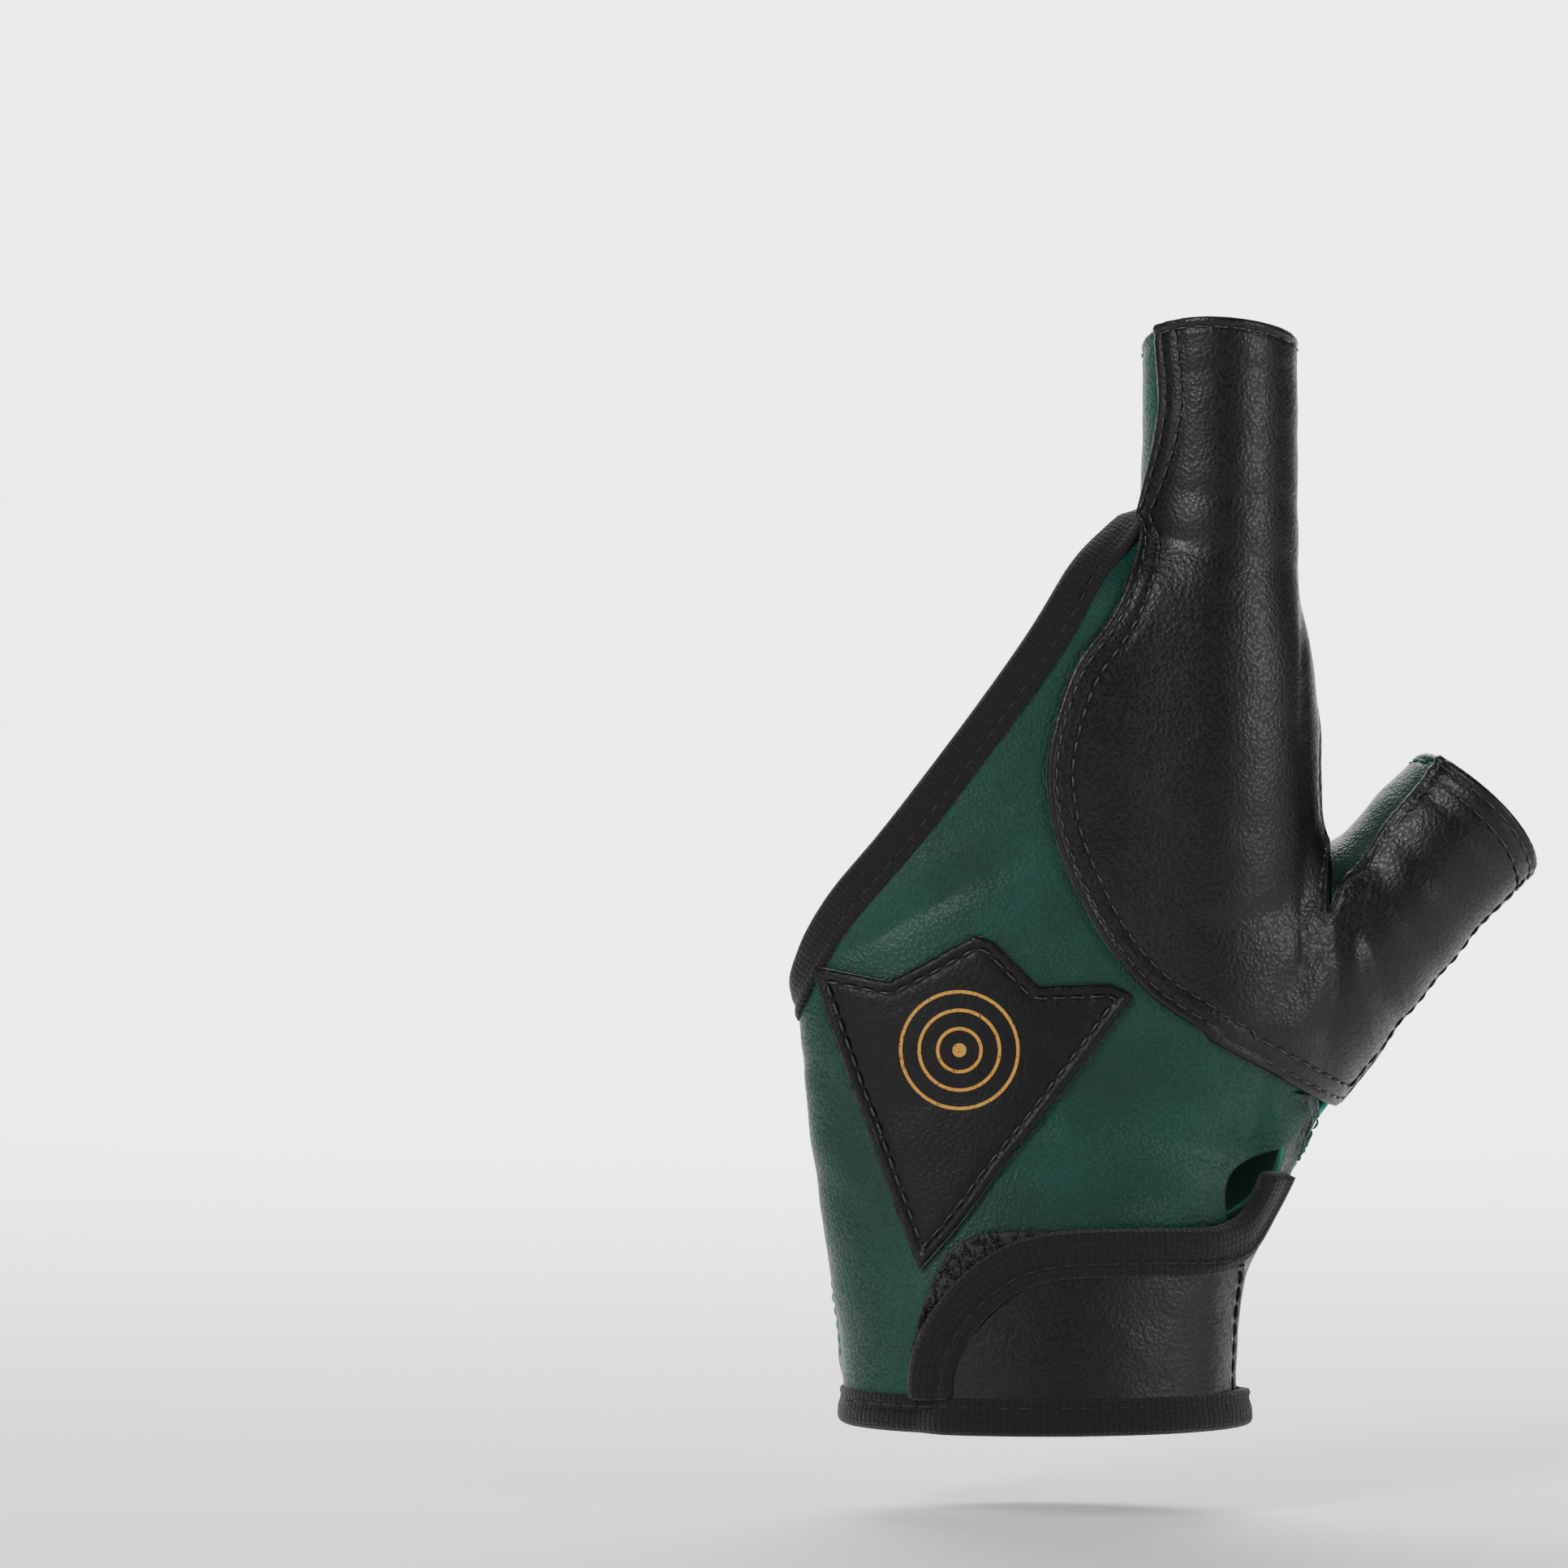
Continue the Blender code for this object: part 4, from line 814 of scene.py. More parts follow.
@dataclass
class Weaver:
    """Lays grids of points on the form."""

    form: HandForm
    step: float = 1.0 * MM

    def spread(
        self, spines: np.ndarray, tilts: np.ndarray, starts: np.ndarray, ends: np.ndarray, count: int
    ) -> np.ndarray:
        """Return turns that divide each row by length, closer at its two ends.

        Args:
            spines: middle of each row.
            tilts: tilt of each row.
            starts: first turn of each row.
            ends: last turn of each row.
            count: number of spaces between the close ends.

        Returns:
            One row of turns for each spine point.
        """
        shares = np.linspace(0, 1, 61)
        turns = mix(starts[:, None], ends[:, None], shares)
        points = self.form.cast(spines[:, None, :], direction(tilts[:, None], turns))
        lengths = np.linalg.norm(np.diff(points, axis=1), axis=-1)
        run = np.concatenate([np.zeros((len(turns), 1)), np.cumsum(lengths, axis=1)], axis=1)
        return np.array([np.interp(lined_up(path[-1], count), path, row) for row, path in zip(turns, run)])

    def level(self, heights: np.ndarray, start: Edge, end: Edge, count: int) -> np.ndarray:
        """Return a grid on level rows from one edge to another."""
        spines = self.form.level_spine(heights)
        turns = self.spread(spines, np.zeros(len(heights)), start(heights), end(heights), count)
        return self.form.on_level_rows(heights, turns)

    def fan(self, pairs: tuple, count: int, sinks: np.ndarray | None = None) -> dict[str, np.ndarray]:
        """Return row planes that fan round from pair to pair of edge points.

        Args:
            pairs: a start and an end spot for each key row.
            count: number of spaces between rows.
            sinks: how far the middle of each key row sinks towards the back of the hand.

        Returns:
            The run of the keys, and for each row its place, middle, tilt and end turns.
        """
        form = self.form
        sinks = np.zeros(len(pairs)) if sinks is None else sinks
        keys, ends = [], []
        sides = [[start[3] for start, _ in pairs], [end[3] for _, end in pairs]]
        for (start, end), sink in zip(pairs, sinks):
            first, last = np.array(form.spot(*start[:3])), np.array(form.spot(*end[:3]))
            middle = (first + last) / 2
            spine = np.array([middle[0], form.mid_depth(*middle) - sink, middle[1]])
            tilt = math.atan2(*(last - first)[::-1])
            turns = [form.find_turn(spine, tilt, *first, start[3]), form.find_turn(spine, tilt, *last, end[3])]
            keys.append([*spine, tilt, *turns])
            ends.append([first, last])
        known = np.array(keys)
        known[:, 3] = np.unwrap(known[:, 3])
        run = np.concatenate([[0], np.cumsum(np.linalg.norm(np.diff(ends, axis=0), axis=-1).mean(axis=1))])
        at = np.unique(np.concatenate([np.linspace(0, run[-1], count + 1), run[-1] - EDGE_STEPS, EDGE_STEPS]))
        corners = np.array(ends)
        first, last = (np.stack([rounded(at, run, corners[:, k, i]) for i in (0, 1)], axis=1) for k in (0, 1))
        middle = (first + last) / 2
        depth = form.mid_depth(middle[:, 0], middle[:, 1]) - smooth(at, run, sinks)
        spines = np.stack([middle[:, 0], depth, middle[:, 1]], axis=-1)
        tilts = np.unwrap(np.arctan2(last[:, 1] - first[:, 1], last[:, 0] - first[:, 0]))
        starts = form.turns_along(at, run, sides[0], known[:, 4], (spines, tilts, *first.T))
        stops = form.turns_along(at, run, sides[1], known[:, 5], (spines, tilts, *last.T))
        return {"run": run, "at": at, "spines": spines, "tilts": tilts, "starts": starts, "ends": stops}

    def fanned(
        self,
        fan: dict[str, np.ndarray],
        starts: np.ndarray,
        ends: np.ndarray,
        count: int,
        bows: np.ndarray | None = None,
        slant: float = 0.0,
        chosen: slice = slice(None),
    ) -> np.ndarray:
        """Return a grid on the chosen rows of a fan.

        Args:
            fan: the row planes.
            starts: first turn of each row.
            ends: last turn of each row.
            count: number of spaces between the close ends of a row.
            bows: how far each key row's middle bows aside in the front view.
            slant: how far the last quarter of the rows slants at the thumb's end.
            chosen: the rows to use.

        Returns:
            The points, rows by columns.
        """
        at, tilts, spines = fan["at"][chosen], fan["tilts"][chosen], fan["spines"][chosen]
        turns = self.spread(spines, tilts, starts[chosen], ends[chosen], count)
        share = np.linspace(0, 1, turns.shape[1])
        aside = self.form.rise_of_end(spines[:, None, 2], turns)
        aside = aside + slant * step_up(at / fan["run"][-1], 0.75, 1.0)[:, None] * np.sin(turns)
        if bows is not None:
            aside = aside + smooth(at, fan["run"], bows)[:, None] * 4 * share * (1 - share)
        shift = np.stack([-np.sin(tilts), np.zeros_like(tilts), np.cos(tilts)], axis=-1)
        origins = spines[:, None, :] + aside[..., None] * shift[:, None, :]
        return self.form.cast(origins, direction(tilts[:, None], turns))

    def front(self, x: np.ndarray, z: np.ndarray) -> np.ndarray:
        """Return points of the form straight behind points of the front view."""
        origins = np.stack([x, self.form.mid_depth(x, z), z], axis=-1)
        return self.form.cast(origins, np.array([0.0, -1.0, 0.0]))


def evened(rows: np.ndarray) -> np.ndarray:
    """Return the Gaussian mean of each row and its neighbours round a closed run."""
    lag = np.arange(-14, 15)
    weights = np.exp(-((lag / 6.5) ** 2))
    return sum(weight * np.roll(rows, k, axis=0) for weight, k in zip(weights / weights.sum(), lag))


def opening_line(form: HandForm) -> np.ndarray:
    """Return the middle line of the band round the finger opening, evened out and closed.

    It is a Catmull-Rom curve through the key points on the form; each point is then the Gaussian mean of its
    neighbours within some millimetres, moved back onto the form where that is a short way.
    """
    heights, turns = [], []
    for zone, one, two, side in OPENING:
        x, z = form.spot(zone, one, two)
        heights.append(z)
        turns.append(form.find_turn(form.level_spine(np.array([z]))[0], 0.0, x, z, side))
    keys = form.on_level_rows(np.array(heights), np.array(turns))
    keys = np.concatenate([keys[-2:], keys, keys[:3]])
    run = run_of(keys)
    at = np.linspace(run[2], run[-3], 261)[:-1]
    line = np.stack([rounded(at, run, keys[:, k]) for k in range(3)], axis=1)
    line = evened(line)
    shift = form.settle(line) - line
    shift = shift * np.minimum(1.0, 0.9 * MM / np.maximum(np.linalg.norm(shift, axis=1), 1e-9))[:, None]
    return line + evened(shift)


def opening_edges(form: HandForm, line: np.ndarray) -> tuple[Edge, Edge]:
    """Return the edges of the back and palm panels along the opening's middle line, as turns by height."""
    spine = form.level_spine(line[:, 2])
    turns = np.arctan2(line[:, 1] - spine[:, 1], line[:, 0] - spine[:, 0])
    lowest, highest = line[:, 2].min(), line[:, 2].max()
    sides = []
    for sign in (-1, 1):
        chosen = turns * sign > 0
        order = np.argsort(line[chosen, 2])
        heights = np.concatenate([[lowest], line[chosen, 2][order], [highest]])
        angles = np.concatenate([[math.pi], np.abs(turns[chosen])[order], [math.pi]]) * sign
        sides.append(lambda at, heights=heights, angles=angles: np.interp(at, heights, angles))
    return sides[0], sides[1]


def ripple(x: np.ndarray, z: np.ndarray, pitch: float) -> np.ndarray:
    """Return a soft uneven swell: the mean of five sines of that pitch in fixed directions."""
    total = np.zeros(np.broadcast(x, z).shape)
    for k in range(5):
        angle = 0.7 + 2.4 * k
        wave = (x * math.cos(angle) + z * math.sin(angle)) * (1 + 0.17 * k)
        total += np.sin(2 * math.pi * wave / pitch + 1.9 * k * k)
    return total / 5


def gathers(x: np.ndarray, z: np.ndarray) -> np.ndarray:
    """Return the height of the elastic wrist's gathers.

    Below the zigzag thread they are rounded ribs, the square root of |sin| along X, that fan out a little;
    above it one slanting fold rises from each peak of the thread and fades out.
    """
    low, line, high = 6 * MM, 24.5 * MM, 42 * MM
    fan = x * (1 + 0.06 * np.sin(x / (9 * MM))) + 0.9 * MM * np.sin(x / (3.1 * MM) + z / (6 * MM))
    rib = np.sqrt(np.abs(np.sin(math.pi * (fan + 0.12 * (z - low)) / GATHER_PITCH)))
    below = step_up(z, low - 2 * MM, low + 4 * MM) * (1 - 0.35 * step_up(z, line - 5 * MM, line)) * (z < line)
    fold = np.sqrt(np.abs(np.sin(math.pi * (x - 0.55 * (z - line) + 1.5 * MM) / (2 * GATHER_PITCH))))
    above = (1 - step_up(z, line, high)) * (z >= line) * 0.9
    return GATHER_HEIGHT * (rib * below + fold * above) - 0.6 * MM * np.exp(-(((z - line) / (2.0 * MM)) ** 2))


def worn(points: np.ndarray) -> np.ndarray:
    """Return the height of wear over the plain form: creases, gathers at the wrist and an uneven swell."""
    x, y, z = points[..., 0], points[..., 1], points[..., 2]
    total = 0.10 * MM * ripple(x, z, 13 * MM) + 0.05 * MM * ripple(z, x + y, 6 * MM)
    for x1, z1, x2, z2, side, height, width in CREASES:
        away = off_segment(x, z, (x1 * MM, z1 * MM, x2 * MM, z2 * MM))
        facing = step_up(y * side, -4 * MM, 1.5 * MM)
        total = total + height * MM * np.exp(-((away / (width * MM)) ** 2)) * facing
    palm_side = step_up(y, 0.0, 7 * MM) * step_up(34 * MM - np.abs(x), 0.0, 6 * MM)
    return total + gathers(x, z) * palm_side


@dataclass(frozen=True)
class EdgeFinish:
    """How a panel's edge looks: rows of stitches that pull it down, a swell beside them, a rounded corner."""

    rows: tuple[float, ...] = ()
    pull: float = 0.26 * MM
    swell: float = 0.0
    round_off: float = 0.35 * MM

    def relief(self, away: np.ndarray) -> np.ndarray:
        """Return the height added at a distance from the edge: Gaussian grooves, a swell and the corner."""
        total = -self.round_off * np.clip(1 - away / (0.6 * MM), 0, 1) ** 2
        for row in self.rows:
            total = total - self.pull * np.exp(-(((away - row) / (0.55 * MM)) ** 2))
        return total + self.swell * np.exp(-(((away - 0.9 * MM) / (0.8 * MM)) ** 2))


def mesh_object(
    name: str, points: np.ndarray, faces: list, materials: list, marks: np.ndarray | None = None
) -> bpy.types.Object:
    """Return a smooth mesh object.

    Args:
        name: the piece's name.
        points: its points.
        faces: its faces, as lists of point numbers.
        materials: its materials.
        marks: each face's material number.

    Returns:
        The object, linked to the scene.
    """
    mesh = bpy.data.meshes.new(name)
    mesh.from_pydata(points.tolist(), [], faces)
    for material in materials:
        mesh.materials.append(material)
    if marks is not None:
        mesh.polygons.foreach_set("material_index", marks.astype(np.int32))
    mesh.shade_smooth()
    made = bpy.data.objects.new(name, mesh)
    bpy.context.scene.collection.objects.link(made)
    return made


def show(piece: bpy.types.Object, slot: str, *nodes: str) -> bpy.types.Object:
    """Let a finished piece ride on the one body, hide the nodes it stands for, and report its face count."""
    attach(piece, "root")
    if nodes:
        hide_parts(*nodes)
    LOG.info("%s: %d faces", piece.name, len(piece.data.polygons))
    return piece


def wall(
    name: str,
    form: HandForm,
    grids: list[np.ndarray],
    low: Callable[[np.ndarray], np.ndarray] | float,
    thickness: float,
    edges: list[tuple[np.ndarray, EdgeFinish]],
    materials: Leather,
) -> bpy.types.Object:
    """Return a closed leather wall on one or more grids that share edges.

    Its inner face lies at `low` above the form, its outer face one thickness higher, both raised by the wear.

    Args:
        name: the piece's name.
        form: the hand's form.
        grids: the grids of points.
        low: height of the inner face, or a function from points to heights.
        thickness: thickness of the leather.
        edges: lines of the panel's border, each with its finish.
        materials: grain side, flesh side and cut edge.

    Returns:
        The object.
    """
    points, faces = [], []
    for grid in grids:
        base = sum(len(part) for part in points)
        rows, columns = grid.shape[:2]
        index = base + np.arange(rows * columns).reshape(rows, columns)
        facing = np.cross(grid[1:, 1:] - grid[:-1, :-1], grid[1:, :-1] - grid[:-1, 1:])
        if (facing * form.normals(grid[1:, 1:])).sum() < 0:
            index = index[::-1]
        quads = np.stack([index[:-1, :-1], index[:-1, 1:], index[1:, 1:], index[1:, :-1]], axis=-1)
        points.append(grid.reshape(-1, 3))
        faces.append(quads.reshape(-1, 4))
    merged, quads = np.concatenate(points), np.concatenate(faces)
    _, first, where = np.unique(np.round(merged * 1e5), axis=0, return_index=True, return_inverse=True)
    merged, quads = merged[first], where.reshape(-1)[quads]
    normals = form.normals(merged)
    bottom = (low(merged) if callable(low) else np.full(len(merged), low)) + worn(merged)
    relief = sum((finish.relief(off_line(merged, line)) for line, finish in edges), np.zeros(len(merged)))
    top = bottom + np.maximum(thickness + relief, 0.35 * thickness)
    count = len(merged)
    both = np.concatenate([merged + normals * bottom[:, None], merged + normals * top[:, None]])
    sides = np.concatenate([quads[:, [k, (k + 1) % 4]] for k in range(4)])
    sides = sides[sides[:, 0] != sides[:, 1]]
    known = set(map(tuple, sides.tolist()))
    rim = [(a, b, b + count, a + count) for a, b in known if (b, a) not in known]
    outer = [list(dict.fromkeys(face)) for face in (quads + count).tolist()]
    inner = [list(dict.fromkeys(face)) for face in quads[:, ::-1].tolist()]
    outer = [face for face in outer if len(face) > 2]
    inner = [face for face in inner if len(face) > 2]
    marks = np.repeat([0, 1, 2], [len(outer), len(inner), len(rim)])
    return mesh_object(name, both, outer + inner + rim, materials, marks)


def beside(form: HandForm, line: np.ndarray, distance: float, step: float = 0.6 * MM) -> np.ndarray:
    """Return a line at a distance beside another on the form, clear of its sharp corners.

    Args:
        form: the hand's form.
        line: points on the form.
        distance: how far to the side, positive along the cross product of normal and direction.
        step: spacing of the result.

    Returns:
        The points on the form.
    """
    line = resample(line, step)
    along = np.gradient(line, axis=0)
    aside = form.settle(line + unit(np.cross(form.normals(line), along)) * distance)
    clear = off_line(aside, line) > 0.86 * abs(distance)
    return resample(aside[clear], step)


@dataclass
class Thread:
    """Stitches of one thread, gathered from many seams and made into one piece."""

    form: HandForm
    radius: float = 0.24 * MM
    pitch: float = 2.7 * MM
    length: float = 2.25 * MM
    arch: float = 0.22 * MM
    paths: list[np.ndarray] = field(default_factory=list)
    lifts: list[np.ndarray] = field(default_factory=list)

    def sew(self, line: np.ndarray, level: float, pitch: float | None = None) -> None:
        """Add stitches along a line on the form.

        Each stitch is five points along the line; its height is the level, plus the wear, plus an arch of
        sin(pi t) that lets both its ends sink into the leather.

        Args:
            line: points on the form.
            level: height of the leather's outer face there.
            pitch: from stitch to stitch, if not the usual one.
        """
        pitch = pitch or self.pitch
        run = run_of(line)
        count = int(run[-1] / pitch)
        if count < 1:
            return
        starts = (np.arange(count) + 0.5 * (run[-1] / pitch - count)) * pitch
        share = np.linspace(0, 1, 5)
        length = self.length * pitch / self.pitch
        at = starts[:, None] + 0.5 * (pitch - length) + share * length
        points = np.stack([np.interp(at, run, line[:, k]) for k in range(3)], axis=-1)
        self.paths.append(points)
        self.lifts.append(level - 0.16 * MM + self.arch * np.sin(np.pi * share) ** 0.7 + worn(points))

    def make(self, name: str, material: bpy.types.Material, slot: str) -> bpy.types.Object:
        """Return all the stitches as one piece: a ring of six points at each point of each stitch."""
        paths, lifts = np.concatenate(self.paths), np.concatenate(self.lifts)
        normals = self.form.normals(paths)
        middles = paths + normals * lifts[..., None]
        along = unit(np.gradient(middles, axis=1))
        across = unit(np.cross(normals, along))
        up = np.cross(along, across)
        taper = self.radius * np.array([0.55, 0.95, 1.0, 0.95, 0.55])
        angles = np.arange(6) * math.pi / 3
        ring = np.cos(angles)[:, None] * across[:, :, None, :] + np.sin(angles)[:, None] * up[:, :, None, :]
        points = middles[:, :, None, :] + ring * taper[None, :, None, None]
        count = len(points)
        base = np.arange(count)[:, None, None] * 30 + np.arange(4)[None, :, None] * 6
        j, k = np.arange(6), (np.arange(6) + 1) % 6
        quads = np.stack([base + j, base + k, base + 6 + k, base + 6 + j], axis=-1).reshape(-1, 4)
        starts = np.arange(count)[:, None] * 30
        caps = np.concatenate([starts + np.arange(6)[::-1], starts + 24 + np.arange(6)])
        piece = mesh_object(name, points.reshape(-1, 3), quads.tolist() + caps.tolist(), [material])
        return show(piece, slot)


@dataclass
class KnitBand:
    """Strip of ribbed knit folded over an edge and sewn through."""

    form: HandForm
    width: float = 6.4 * MM
    thickness: float = 2.5 * MM
    seam: float = 1.9 * MM

    def profile(self, leather_side: float) -> np.ndarray:
        """Return the closed section, points across and outwards.

        The half height is the leather's plus a puff h (1 - |f|^6)^(1/2), f the share of the way to the free
        edge, less a Gaussian groove where the thread pulls it in; the free edge closes as (1 - f^5)^(1/2).

        Args:
            leather_side: 1 or -1, the side across that the leather lies on.

        Returns:
            Thirty-two points around the section.
        """
        angle = np.linspace(0, 2 * math.pi, 33)[:-1]
        half = self.width / 2
        across = half * np.sign(np.cos(angle)) * np.abs(np.cos(angle)) ** 0.55
        free = -across * leather_side / half
        inside = LEATHER / 2 + 0.1 * MM
        puff = (self.thickness / 2 - inside) * np.sqrt(1 - np.clip(np.abs(free), 0, 1) ** 6) * (1.1 + 0.4 * free)
        groove = np.exp(-(((across * leather_side - (half - self.seam)) / (0.5 * MM)) ** 2))
        height = inside + np.maximum(puff - 0.4 * MM * groove, 0.0)
        height = height * np.where(free > 0, np.sqrt(1 - np.clip(free, 0, 1) ** 5), 1.0)
        return np.stack([across, height * np.sign(np.sin(angle) + 1e-9)], axis=1)

    def make(
        self,
        name: str,
        line: np.ndarray,
        material: bpy.types.Material,
        slot: str,
        node: str,
        leather_side: float,
        closed: bool,
        lift: np.ndarray | float = 0.0,
    ) -> bpy.types.Object:
        """Return the band carried along a line on the form, with a UV map in metres along and across it.

        Args:
            name: the piece's name.
            line: points on the form, evenly spaced.
            material: the knit.
            slot: not used.
            node: the node that the band stands for.
            leather_side: 1 or -1, the side across that the leather lies on.
            closed: whether the line runs round to its start.
            lift: height added along the line.

        Returns:
            The object.
        """
        normals = self.form.normals(line)
        normals = unit(evened(normals)) if closed else normals
        along = np.roll(line, -1, axis=0) - np.roll(line, 1, axis=0) if closed else np.gradient(line, axis=0)
        across = unit(np.cross(normals, along))
        run = run_of(np.concatenate([line, line[:1]]) if closed else line)
        section = self.profile(leather_side)
        stations, sides = len(line), len(section)
        pucker = 1 + 0.05 * np.sin(run[:stations] / (3.1 * MM)) * np.sin(run[:stations] / (7.3 * MM) + 1)
        out = section[None, :, 1] * pucker[:, None] + (worn(line) + LEATHER / 2 + lift)[:, None]
        points = line[:, None, :] + section[None, :, :1] * across[:, None, :] + out[..., None] * normals[:, None, :]
        if not closed:
            points[0] = mix(points[0].mean(0), points[0], 0.6)
            points[-1] = mix(points[-1].mean(0), points[-1], 0.6)
        last = stations if closed else stations - 1
        i, j = np.meshgrid(np.arange(last), np.arange(sides), indexing="ij")
        after_i, after_j = (i + 1) % stations, (j + 1) % sides
        corners = [i * sides + j, after_i * sides + j, after_i * sides + after_j, i * sides + after_j]
        quads = np.stack(corners, axis=-1)
        around = run_of(np.concatenate([points[0], points[0, :1]]))
        u = np.stack([run[i], run[i + 1], run[i + 1], run[i]], axis=-1)
        v = np.stack([around[j], around[j], around[j + 1], around[j + 1]], axis=-1)
        faces = quads.reshape(-1, 4)
        flat = points.reshape(-1, 3)
        volume = np.einsum("ij,ij->i", flat[faces[:, 0]], np.cross(flat[faces[:, 1]], flat[faces[:, 2]])).sum()
        listed, uv = faces.tolist(), np.stack([u, v], axis=-1).reshape(-1, 4, 2)
        if volume < 0:
            listed, uv = faces[:, ::-1].tolist(), uv[:, ::-1]
        uv = uv.reshape(-1, 2)
        if not closed:
            ends = [np.arange(sides), (stations - 1) * sides + np.arange(sides)[::-1]]
            ends = ends if volume >= 0 else [end[::-1] for end in ends]
            listed += [end.tolist() for end in ends]
            uv = np.concatenate([uv, np.zeros((2 * sides, 2))])
        piece = mesh_object(name, flat, listed, [material])
        layer = piece.data.uv_layers.new(name="knit")
        layer.data.foreach_set("uv", uv.astype(np.float32).ravel())
        return show(piece, slot, node)


def linear(code: str) -> tuple[float, float, float, float]:
    """Return the linear colour of an sRGB hex code."""
    parts = [int(code.lstrip("#")[k : k + 2], 16) / 255 for k in (0, 2, 4)]
    red, green, blue = (p / 12.92 if p <= 0.04045 else ((p + 0.055) / 1.055) ** 2.4 for p in parts)
    return red, green, blue, 1.0


def add_node(
    tree: bpy.types.NodeTree, kind: str, inputs: dict | None = None, **settings: Any
) -> bpy.types.Node:
    """Add a node with its settings and inputs.

    Args:
        tree: the material's tree.
        kind: the node's type.
        inputs: value or linked socket for each input, by name or number.
        settings: the node's own properties.

    Returns:
        The node.
    """
    node = tree.nodes.new(kind)
    for name, value in settings.items():
        setattr(node, name, value)
    for key, value in (inputs or {}).items():
        if isinstance(value, bpy.types.NodeSocket):
            tree.links.new(value, node.inputs[key])
        else:
            node.inputs[key].default_value = value
    return node


def fresh(name: str) -> tuple[bpy.types.Material, bpy.types.NodeTree, bpy.types.Node]:
    """Return a new material with its tree and its Principled shader."""
    material = bpy.data.materials.new(name)
    material.use_nodes = True
    tree = material.node_tree
    return material, tree, tree.nodes["Principled BSDF"]


def ramp(tree: bpy.types.NodeTree, value: bpy.types.NodeSocket, low: float, high: float) -> bpy.types.NodeSocket:
    """Return the value stretched so that low becomes 0 and high becomes 1, held between."""
    inputs = {"Value": value, "From Min": low, "From Max": high}
    return add_node(tree, "ShaderNodeMapRange", inputs).outputs["Result"]


def noise_at(
    tree: bpy.types.NodeTree, place: bpy.types.NodeSocket, size: float, detail: float
) -> bpy.types.NodeSocket:
    """Return noise whose grains are about the size given."""
    inputs = {"Vector": place, "Scale": 1 / size, "Detail": detail}
    return add_node(tree, "ShaderNodeTexNoise", inputs).outputs["Fac"]


@dataclass(frozen=True)
class TargetPrint:
    """Thin gold rings and a centre spot, like a butt's rings, screen printed on leather."""

    place: tuple[float, float] = (-13.2 * MM, 60.5 * MM)
    radii: tuple[float, ...] = (9.2 * MM, 6.3 * MM, 3.4 * MM)
    line: float = 0.26 * MM
    spot: float = 1.1 * MM
    colour: str = "#B5822F"

    def mask(self, tree: bpy.types.NodeTree, place: bpy.types.NodeSocket) -> bpy.types.NodeSocket:
        """Return 1 on the rings and the spot, from the distance to their centre in X and Z."""
        centre = (self.place[0], 0.0, self.place[1])
        moved = add_node(tree, "ShaderNodeVectorMath", {0: place, 1: centre}, operation="SUBTRACT").outputs[0]
        inputs = {0: moved, 1: (1.0, 0.0, 1.0)}
        flat = add_node(tree, "ShaderNodeVectorMath", inputs, operation="MULTIPLY").outputs[0]
        away = add_node(tree, "ShaderNodeVectorMath", {0: flat}, operation="LENGTH").outputs["Value"]
        total = add_node(tree, "ShaderNodeMath", {0: away, 1: self.spot}, operation="LESS_THAN").outputs[0]
        for radius in self.radii:
            inputs = {0: away, 1: radius, 2: self.line}
            ring = add_node(tree, "ShaderNodeMath", inputs, operation="COMPARE").outputs[0]
            total = add_node(tree, "ShaderNodeMath", {0: total, 1: ring}, operation="MAXIMUM").outputs[0]
        kept = ramp(tree, noise_at(tree, place, 0.35 * MM, 2.0), 0.30, 0.42)
        return add_node(tree, "ShaderNodeMath", {0: total, 1: kept}, operation="MULTIPLY").outputs[0]


